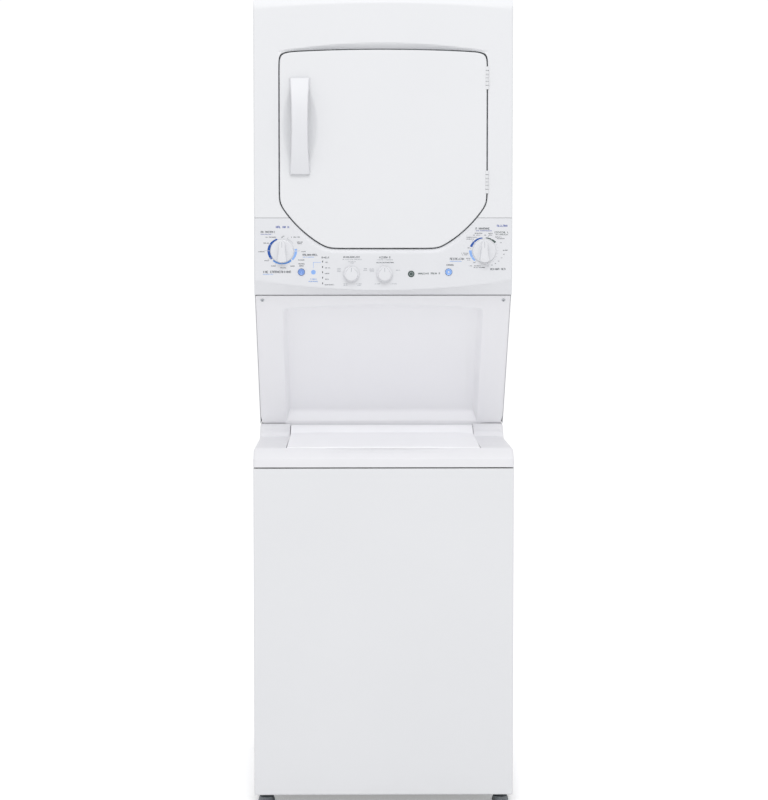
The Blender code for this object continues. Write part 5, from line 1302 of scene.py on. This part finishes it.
@dataclass
class Legend:
    """Everything printed on the fascia: arcs and ticks round the dials, and strokes in the place of words.

    Words are rows of plain upright strokes, in millimetres: across, height, width and letter height.
    """

    thick: float = 0.00012
    drafts: dict = field(default_factory=dict)
    dice: random.Random = field(default_factory=lambda: random.Random(7))

    def sheet(self, ink: Ink) -> Draft:
        """The draft that one ink prints into."""
        if ink not in self.drafts:
            self.drafts[ink] = Draft()
        return self.drafts[ink]

    def patch(self, ink: Ink, corners: Sequence[Flat]) -> None:
        """One flat patch of ink, from its corners in metres."""
        front = [(x, FACE_Y - self.thick, z) for x, z in corners]
        self.sheet(ink).tube([front, [(x, FACE_Y + 0.0002, z) for x, z in corners]])

    def bar(self, ink: Ink, x: float, z: float, wide: float, tall: float) -> None:
        """An upright rectangle about a point, in millimetres."""
        x, z, w, h = x * MM, z * MM, wide * MM / 2, tall * MM / 2
        self.patch(ink, [(x - w, z - h), (x + w, z - h), (x + w, z + h), (x - w, z + h)])

    def word(self, ink: Ink, x: float, z: float, wide: float, tall: float) -> None:
        """A row of strokes that stands in for a word.

        Args:
            ink: the ink.
            x: the row's middle.
            z: its height.
            wide: its length.
            tall: the height of its strokes.
        """
        pitch = max(tall * 0.78, 1.15)
        count = max(round(wide / pitch), 1)
        stroke = max(tall * 0.21, 0.42)
        for i in range(count):
            left = x - wide / 2 + pitch * (i + 0.15)
            kind = self.dice.random()
            if kind < 0.08 and 0 < i < count - 1:
                continue
            cell = pitch * 0.62
            self.bar(ink, left, z, stroke, tall)
            if kind < 0.55:
                self.bar(ink, left + cell, z, stroke, tall * 0.98)
            level = z + tall * (0.5 if kind < 0.3 else 0.0 if kind < 0.65 else -0.5) * 0.86
            self.bar(ink, left + cell / 2, level, cell, stroke)
            if kind > 0.75:
                self.bar(ink, left + cell / 2, z + tall * 0.43, cell, stroke)

    def words(self, ink: Ink, rows: Sequence[tuple[float, float, float, float]]) -> None:
        """Several words in one ink."""
        for row in rows:
            self.word(ink, *row)

    def arc(self, ink: Ink, centre: Flat, start: float, end: float, radius: float, widths: Flat) -> None:
        """A curved band round a dial.

        Args:
            ink: the ink.
            centre: the dial's centre in metres.
            start: its first direction in degrees, anticlockwise from the right.
            end: its last direction.
            radius: its inner radius in millimetres.
            widths: its width at the start and at the end.
        """
        steps = 40
        inner, outer = [], []
        for i in range(steps + 1):
            t = i / steps
            a = math.radians(start + (end - start) * t)
            wide = widths[0] + (widths[1] - widths[0]) * t
            for reach, line in ((radius, inner), (radius + wide, outer)):
                line.append((centre[0] + reach * MM * math.cos(a), centre[1] + reach * MM * math.sin(a)))
        for i in range(steps):
            self.patch(ink, [inner[i], inner[i + 1], outer[i + 1], outer[i]])

    def tick(self, ink: Ink, centre: Flat, angle: float, near: float, far: float, wide: float = 0.5) -> None:
        """A short line that points at a dial; angle in degrees, lengths in millimetres."""
        a = math.radians(angle)
        along, across = Vector((math.cos(a), math.sin(a))) * MM, Vector((-math.sin(a), math.cos(a))) * wide * MM / 2
        mid = Vector(centre)
        self.patch(
            ink,
            [
                tuple(mid + along * near - across), tuple(mid + along * near + across),
                tuple(mid + along * far + across), tuple(mid + along * far - across)
            ]
        )

    def numeral(self, text: str, x: float, z: float, tall: float) -> None:
        """One printed number, as a mesh."""
        curve = bpy.data.curves.new("numeral", "FONT")
        curve.body, curve.size, curve.align_x, curve.align_y = text, tall * MM * 1.35, "CENTER", "CENTER"
        curve.extrude = self.thick / 2
        source = bpy.data.objects.new("numeral", curve)
        bpy.context.scene.collection.objects.link(source)
        bpy.context.view_layer.update()
        mesh = bpy.data.meshes.new_from_object(source.evaluated_get(bpy.context.evaluated_depsgraph_get()))
        bpy.data.objects.remove(source)
        mesh.transform(
            Matrix.Translation((x * MM, FACE_Y - self.thick / 2, z * MM)) @ Matrix.Rotation(math.pi / 2, 4, "X")
        )
        mesh.materials.clear()
        mesh.materials.append(LINE_GREY.material())
        piece = bpy.data.objects.new(f"dial_number_{text}", mesh)
        bpy.context.scene.collection.objects.link(piece)
        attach(piece, "cabinet")

    def washer_side(self) -> None:
        """Prints round the washer's dial, the rinse key and the status lights."""
        low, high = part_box("washer_cycle_knob")
        dial = ((low.x + high.x) / 2, (low.z + high.z) / 2)
        self.arc(Ink.DEEP, dial, 112, 152, 27.9, (3.0, 5.6))
        self.arc(Ink.DEEP, dial, 153.2, 178.6, 27.9, (5.6, 6.4))
        self.arc(Ink.DEEP, dial, 180.2, 211, 27.9, (6.4, 5.4))
        self.arc(Ink.DEEP, dial, 212.4, 218, 27.9, (5.4, 4.8))
        self.arc(Ink.MID, dial, 227, 268.4, 28.2, (4.0, 2.7))
        self.arc(Ink.MID, dial, 269.6, 314, 28.2, (2.7, 4.2))
        self.arc(Ink.SOFT, dial, -41, -1.6, 29.2, (4.2, 6.2))
        self.arc(Ink.SOFT, dial, 1.4, 8, 29.2, (6.2, 6.2))
        self.arc(Ink.PALE, dial, 32, 66, 30.6, (0.6, 0.6))
        for angle, near, far in (
            (118, 31.5, 36), (152.6, 34, 38), (179.4, 35, 42), (211.7, 34, 38), (244, 31, 34), (269, 31, 34),
            (300, 31, 34.5), (0, 36, 41), (66, 31, 35)
        ):
            self.tick(Ink.GREY, dial, angle, near, far, 0.45)
        self.tick(Ink.GREY, dial, 90, 30.6, 33.0, 2.2)
        self.words(Ink.ROYAL, [(-234.3, 1347.7, 32, 5.0)])
        self.words(
            Ink.GREY,
            [
                (-269.3, 1336.2, 33, 4.4), (-248.1, 1243.1, 64, 5.2), (-170.4, 1282.9, 36, 4.6),
                (-134.6, 1276.6, 19, 3.8)
            ]
        )
        self.words(Ink.ROYAL, [(-272.4, 1330.8, 27, 1.6)])
        self.words(Ink.SOFT, [(-174.5, 1277.6, 27, 1.4), (-268.3, 1237.6, 25, 1.9)])
        small = [
            (-262.2, 1324.1, 24, 2.4), (-232.5, 1326.2, 5, 2), (-204.9, 1324.1, 20, 2.4), (-194.7, 1312.6, 13, 2.2),
            (-194.7, 1309.0, 11, 2.2)
        ]
        small += [
            (-273.4, 1310.3, 12, 2.3), (-283.5, 1290.3, 15, 2.3), (-272.0, 1269.4, 10, 2.3),
            (-256.2, 1256.9, 11, 2.3), (-232.9, 1252.7, 15, 2.3)
        ]
        small += [
            (-211.6, 1256.4, 11, 2.3), (-185.6, 1290.6, 10, 2.3), (-190.9, 1270.8, 15, 2.4),
            (-190.4, 1262.0, 15, 2.8), (-190.4, 1257.0, 11, 2.8)
        ]
        small += [
            (-131.7, 1265.4, 6.5, 2.2), (-129.9, 1252.4, 12, 2.2), (-130.6, 1239.4, 11, 2.2),
            (-131.5, 1226.0, 9, 2.2), (-125.8, 1213.0, 22, 2.2)
        ]
        self.words(Ink.GREY, small)
        self.bar(Ink.SOFT, -163, 1259.0, 0.8, 13.6)
        self.bar(Ink.SOFT, -154.4, 1265.5, 18, 0.8)
        for i in range(24):
            a, b = math.tau * i / 24, math.tau * (i + 1) / 24
            far = 5.4 * MM
            mid = (-0.163, 1.2424)
            self.patch(
                Ink.SOFT,
                [
                    mid, (mid[0] + far * math.cos(a), mid[1] + far * math.sin(a)),
                    (mid[0] + far * math.cos(b), mid[1] + far * math.sin(b))
                ]
            )
        self.words(Ink.MID, [(-163, 1226.2, 15, 2.4), (-163, 1220.8, 22, 2.4)])

    def middle(self) -> None:
        """Prints round the two selector knobs and the plain round badge."""
        self.words(Ink.GREY, [(-73.2, 1277.7, 40, 3.8), (4.1, 1276.8, 27, 4.2), (4.1, 1264.8, 40, 2.6)])
        small = [(-72.4, 1272.2, 45, 2.0), (-73.2, 1267.2, 17, 1.8), (-73.2, 1263.8, 9, 1.2), (4.1, 1271.2, 37, 1.9)]
        small += [
            (-102.4, 1251.0, 9.5, 1.9), (-102.4, 1247.7, 9.5, 1.9), (-102.4, 1244.4, 9.5, 1.9),
            (-42.0, 1250.6, 7, 1.9), (-42.0, 1246.6, 9, 1.9)
        ]
        small += [(-88.2, 1215.2, 9, 1.9), (-88.2, 1211.8, 9, 1.9), (-55.9, 1215.2, 12, 1.9), (-55.9, 1211.8, 9, 1.6)]
        small += [
            (-26.3, 1250.4, 11, 1.9), (-26.3, 1247.2, 12, 1.9), (-26.3, 1244.0, 9, 1.9), (35.2, 1246.9, 11, 2.2),
            (-13.6, 1215.3, 12, 2.1), (23.9, 1215.3, 16, 2.1)
        ]
        self.words(Ink.PALE, small)
        self.words(Ink.FOREST, [(93.5, 1239.1, 24, 4.0), (121.4, 1239.4, 21, 4.0)])

    def badge(self) -> None:
        """A plain domed disc with a raised ring, with nothing written on it."""
        draft = Draft()
        draft.turned(
            [
                (0.0076, 0.0), (0.0076, 0.0007), (0.0070, 0.0012), (0.0062, 0.0013), (0.0058, 0.0010),
                (0.0030, 0.0012), (0.0004, 0.0013)
            ],
            (0.0654, FACE_Y, 1.2383)
        )
        draft.done("plain_badge", FOREST, "cabinet", "grey plastic")
        ring = Draft()
        ring.turned(
            [(0.0036, 0.0010), (0.0038, 0.0015), (0.0044, 0.0015), (0.0046, 0.0010)], (0.0654, FACE_Y, 1.2383),
            caps=False
        )
        ring.done("plain_badge_ring", BRIGHT_ZINC, "cabinet", "galvanised steel")

    def dryer_side(self) -> None:
        """Prints round the dryer's dial and the start key."""
        low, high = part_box("dryer_cycle_knob")
        dial = ((low.x + high.x) / 2, (low.z + high.z) / 2)
        self.arc(Ink.DEEP, dial, 98, 138, 29.4, (2.4, 4.4))
        self.arc(Ink.DEEP, dial, 139.4, 163, 29.4, (4.4, 6.0))
        self.arc(Ink.SOFT, dial, 178, 206, 29.2, (6.4, 5.4))
        self.arc(Ink.SOFT, dial, 207.6, 226, 29.2, (5.4, 4.0))
        self.arc(Ink.FOREST, dial, 84, 60, 29.6, (1.8, 3.2))
        self.arc(Ink.FOREST, dial, 58.6, 37, 29.6, (3.2, 5.2))
        for i, angle in enumerate((28, 15, 2, -12, -25, -38, -50, -62, -74, -86)):
            self.tick(Ink.PALE, dial, angle, 30.5, 33.0, 0.4)
        for angle, near, far in ((75, 32, 37), (171, 31, 34), (232, 31, 34), (140, 34, 37), (120, 33, 36)):
            self.tick(Ink.GREY, dial, angle, near, far, 0.6)
        for text, (x, z) in {
            "60": (281.6, 1284.0), "50": (276.6, 1275.8), "40": (269.6, 1268.0), "30": (261.8, 1262.4),
            "20": (253.6, 1258.8), "10": (244.4, 1256.8)
        }.items():
            self.numeral(text, x, z, 2.6)
        self.words(Ink.ROYAL, [(277.6, 1350.5, 25, 4.6), (235.1, 1338.8, 38, 1.8)])
        self.words(
            Ink.GREY,
            [(231.8, 1344.0, 33, 4.8), (173.0, 1273.3, 35, 4.8), (267.9, 1249.4, 36, 4.6), (155.8, 1259.0, 16, 3.6)]
        )
        self.words(Ink.FOREST, [(277.1, 1335.2, 34, 4.2), (277.1, 1329.8, 30, 2.2)])
        self.words(Ink.SOFT, [(169.6, 1267.6, 28, 1.4)])
        small = [
            (222.5, 1333.0, 18, 1.9), (218.3, 1328.8, 17, 1.9), (206.6, 1323.7, 25, 1.9), (203.2, 1319.4, 18, 1.9),
            (238.0, 1328.7, 4, 2.0), (250.3, 1332.6, 10, 1.9)
        ]
        small += [
            (250.0, 1328.8, 7, 1.9), (268.5, 1324.3, 15, 1.9), (274.5, 1320.6, 18, 1.9), (275.0, 1311.1, 5, 1.9),
            (199.0, 1299.0, 4, 1.9), (285.5, 1293.4, 12, 2.1)
        ]
        small += [
            (191.0, 1286.6, 17, 1.9), (191.6, 1282.8, 15, 1.9), (198.6, 1274.6, 10, 1.9), (199.4, 1270.6, 7, 1.9),
            (212.8, 1264.6, 5, 1.9), (214.1, 1257.0, 28, 2.0), (225.0, 1253.1, 27, 2.0)
        ]
        self.words(Ink.GREY, small)

    def build(self) -> None:
        """Prints all three parts and turns each ink into one piece."""
        self.washer_side()
        self.middle()
        self.dryer_side()
        self.badge()
        for ink, draft in self.drafts.items():
            slot = "blue button" if ink in (Ink.ROYAL, Ink.DEEP, Ink.MID, Ink.SOFT) else "grey plastic"
            draft.done(f"print_{ink.name.lower()}", ink.value, "cabinet", slot)


@dataclass
class Controls:
    """Knobs, keys, status lights and the parts behind the fascia."""

    def key(self, node: str, body: str, finish: Finish, dot_and_highlight: Finish) -> None:
        """A round push key with a dished face and a small mark.

        Args:
            node: the CAD node that it stands for.
            body: the body that it rides on.
            finish: its material.
            mark: the mark's material.
        """
        low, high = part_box(node)
        centre = ((low.x + high.x) / 2, FACE_Y, (low.z + high.z) / 2)
        r, out = (high.x - low.x) / 2 if high.x - low.x < 0.018 else 0.0078, FACE_Y - low.y
        draft = Draft()
        draft.turned(
            [
                (r - 0.0002, -0.004), (r, out * 0.45), (r - 0.0006, out * 0.82), (r - 0.0016, out),
                (r - 0.0026, out - 0.0003), (r * 0.4, out - 0.0011), (0.0006, out - 0.0012)
            ],
            centre, steps=56
        )
        draft.done(f"{node}_cap", finish, body, "blue button", [node])
        # The centre disc: the start key's white dot, and on the rinse key a pale disc of painted highlight.
        centre_dot_and_highlight = Draft()
        centre_dot_and_highlight.turned([(0.0020, out - 0.0011), (0.0020, out - 0.0006), (0.0003, out - 0.0005)], centre, steps=24)
        centre_dot_and_highlight.done(f"{node}_mark", dot_and_highlight, body, "blue button")
        collar = Draft()
        collar.turned(
            [(r + 0.0006, -0.0008), (r + 0.0006, 0.0003), (r + 0.0012, 0.0005), (r + 0.0018, 0.0)], centre, caps=False
        )
        collar.done(f"{node}_collar", WHITE_ABS, "cabinet", "white moulding")

    def lights(self) -> None:
        """Five upright smoked lenses."""
        for i, z in enumerate((1.2672, 1.2545, 1.2423, 1.2296, 1.2165)):
            draft = Draft()
            rings = []
            for grow, out in ((0.0, -0.001), (0.0, 0.0003), (-0.0002, 0.0005)):
                w, h = 0.0010 + grow, 0.0021 + grow
                rings.append(
                    [
                        (
                            -0.1415 + w * (abs(math.cos(a)) ** 0.5) * math.copysign(1, math.cos(a)), FACE_Y - out,
                            z + h * (abs(math.sin(a)) ** 0.5) * math.copysign(1, math.sin(a))
                        )
                        for a in (math.tau * k / 24 for k in range(24))
                    ]
                )
            draft.tube(rings)
            draft.done(f"status_lens_{i + 1}", DARK_PP_AND_PAINTED_SHADE, "cabinet", "grey plastic")

    def build(self) -> None:
        """Builds the controls and dresses the timers and the board."""
        CycleDial("washer_cycle_knob", "washer_dial", 0.027, 0.0194).build()
        CycleDial("dryer_cycle_knob", "dryer_dial", 0.027, 0.0194).build()
        SelectorDial("temperature_knob", "temperature_dial", 0.0185, 0.0154).build()
        SelectorDial("load_size_knob", "load_dial", 0.0185, 0.0154).build()
        # The rinse key's pale centre disc is a painted highlight on its blue dome.
        self.key("extra_rinse_button", "rinse_key", BLUE_KEY, PALE_KEY_AND_HIGHLIGHT)
        self.key("start_button", "start_key", PALE_KEY_AND_HIGHLIGHT, WHITE_ABS)
        self.lights()
        for node in ("washer_timer", "dryer_timer", "control_board"):
            dress_node(node, GREY_PP)


@dataclass
class Insides:
    """What shows with the lid or the door open, and from below and behind."""

    finishes: dict = field(
        default_factory=lambda: {
            "outer_tub": TUB_PP,
            "tub_cover": TUB_PP,
            "agitator": TUB_PP,
            "gearcase": CAST_ALLOY,
            "washer_motor": CAST_ALLOY,
            "washer_drive_pulley": CAST_ALLOY,
            "washer_motor_pulley": CAST_ALLOY,
            "washer_drive_belt": BELT_RUBBER,
            "drain_pump": GREY_PP,
            "water_valve": GREY_PP,
            "suspension_strut_front_left": BRIGHT_ZINC,
            "suspension_strut_front_right": BRIGHT_ZINC,
            "suspension_strut_rear_left": BRIGHT_ZINC,
            "suspension_strut_rear_right": BRIGHT_ZINC,
            "dryer_deck": ZINC_SHEET,
            "dryer_drum": STAINLESS,
            "drum_front_bulkhead": ZINC_SHEET,
            "drum_rear_bulkhead": ZINC_SHEET,
            "drum_roller_left": GREY_PP,
            "drum_roller_right": GREY_PP,
            "idler_pulley": GREY_PP,
            "drum_belt": BELT_RUBBER,
            "dryer_motor": ZINC_SHEET,
            "blower_wheel": GREY_PP,
            "blower_housing": ZINC_SHEET,
            "exhaust_duct": ZINC_SHEET,
            "heater_box": ZINC_SHEET,
            "lint_filter": GREY_PP,
        }
    )

    def build(self) -> None:
        """Dresses each kept node; the basket's holes are set out from its own box."""
        for node, finish in self.finishes.items():
            dress_node(node, finish)
        low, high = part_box("wash_basket")
        basket = PiercedEnamel(
            BASKET_ENAMEL.label,
            BASKET_ENAMEL.base,
            BASKET_ENAMEL.shade,
            BASKET_ENAMEL.roughness,
            radius_mm=(high.x - low.x) * 500,
            centre_y=(low.y + high.y) / 2,
        )
        dress_node("wash_basket", basket)


@dataclass(frozen=True)
class StudioPaint(Finish):
    """Matt rolled paint on the studio floor: pale, with a faint roller texture."""

    def dress(self, tree: bpy.types.NodeTree, shader: bpy.types.Node, place: bpy.types.NodeSocket) -> None:
        """A slow unevenness and a fine nap."""
        nap = add(tree, "ShaderNodeTexNoise", {"Scale": 1 / 0.004, "Detail": 2.0}, {"Vector": place})
        slow = add(tree, "ShaderNodeTexNoise", {"Scale": 1 / 0.8, "Detail": 2.0}, {"Vector": place})
        self.tint(tree, shader, slow.outputs["Fac"])
        self.relief(tree, shader, nap.outputs["Fac"], 0.1, 0.1)


@dataclass
class Studio:
    """A pale floor, soft light from above and in front, and the camera."""

    lens: float = 113.885
    spot: Solid = (-0.0658, -6.2, 1.4813)
    pitch: float = -4.3029
    yaw: float = 0.6556
    shift: float = -0.05
    ambient: float = 0.84
    key: float = 90.0
    fill: float = 4.0
    sweep: float = 0.34

    def floor(self) -> None:
        """A wide flat floor, lifted to pale white for the camera only."""
        draft = Draft()
        rows = []
        for i in range(41):
            y = -9 + 18 * i / 40
            rows.append([(-9 + 18 * j / 8, y, 0.0) for j in range(9)])
        draft.tube(rows, closed=False)
        mesh = bpy.data.meshes.new("studio_floor")
        draft.bm.to_mesh(mesh)
        draft.bm.free()
        paint = StudioPaint("rolled_studio_paint", "#F4F4F4", "#F1F1F2", 0.85).material()
        shader = next(node for node in paint.node_tree.nodes if node.type == "BSDF_PRINCIPLED")
        shader.inputs["Emission Color"].default_value = linear("#FFFFFF")
        path = add(paint.node_tree, "ShaderNodeLightPath")
        lift = add(paint.node_tree, "ShaderNodeMath", {1: self.sweep}, {0: path.outputs["Is Camera Ray"]})
        lift.operation = "MULTIPLY"
        paint.node_tree.links.new(lift.outputs[0], shader.inputs["Emission Strength"])
        mesh.materials.append(paint)
        floor = bpy.data.objects.new("studio_floor", mesh)
        bpy.context.scene.collection.objects.link(floor)

    def world(self) -> None:
        """An even pale surround: brighter to the camera than as a light."""
        world = bpy.data.worlds.new("studio_surround")
        bpy.context.scene.world = world
        world.use_nodes = True
        tree = world.node_tree
        light = tree.nodes["Background"]
        light.inputs["Color"].default_value = linear("#FCFCFD")
        light.inputs["Strength"].default_value = self.ambient
        shown = add(tree, "ShaderNodeBackground", {"Color": linear("#FFFFFF"), "Strength": 1.05})
        path = add(tree, "ShaderNodeLightPath")
        mix = add(
            tree, "ShaderNodeMixShader", None,
            {0: path.outputs["Is Camera Ray"], 1: light.outputs[0], 2: shown.outputs[0]}
        )
        tree.links.new(mix.outputs[0], tree.nodes["World Output"].inputs["Surface"])

    def softbox(self, name: str, spot: Solid, aim: Solid, wide: float, tall: float, watts: float) -> None:
        """One large soft light.

        Args:
            name: its name.
            spot: where it stands.
            aim: the point that it faces.
            wide: its width in metres.
            tall: its height in metres.
            watts: its power.
        """
        lamp = bpy.data.lights.new(name, "AREA")
        lamp.shape, lamp.size, lamp.size_y, lamp.energy = "RECTANGLE", wide, tall, watts
        body = bpy.data.objects.new(name, lamp)
        body.location = spot
        body.rotation_euler = (Vector(aim) - Vector(spot)).to_track_quat("-Z", "Y").to_euler()
        bpy.context.scene.collection.objects.link(body)

    def camera(self) -> None:
        """A long lens at chest height, tilted slightly down."""
        data = bpy.data.cameras.new("camera")
        data.lens, data.shift_y, data.sensor_width = self.lens, self.shift, 36.0
        data.clip_end = 100.0
        body = bpy.data.objects.new("camera", data)
        body.location = self.spot
        body.rotation_euler = (math.radians(90 + self.pitch), 0.0, math.radians(-self.yaw))
        bpy.context.scene.collection.objects.link(body)
        bpy.context.scene.camera = body

    def build(self) -> None:
        """Sets up the whole studio."""
        self.floor()
        self.world()
        self.softbox("key_softbox", (0.0, -4.5, 4.7), (0.0, 0.0, 1.1), 3.4, 2.2, self.key)
        self.softbox("front_fill", (0.0, -6.0, 1.9), (0.0, 0.0, 1.1), 3.0, 3.0, self.fill)
        self.camera()
        bpy.context.scene.view_settings.view_transform = "Standard"


def main() -> None:
    """Builds every sub-assembly in order and reports each piece."""
    logging.basicConfig(level=logging.INFO, format="%(name)s: %(message)s")
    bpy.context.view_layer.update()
    Studio().build()
    for assembly in (WasherCasing(), TopCover(), Stand(), DryerFront(), DryerDoor(), Controls(), Legend(), Insides()):
        LOG.info("%s", type(assembly).__doc__.splitlines()[0])
        assembly.build()


if __name__ == "__main__":
    main()
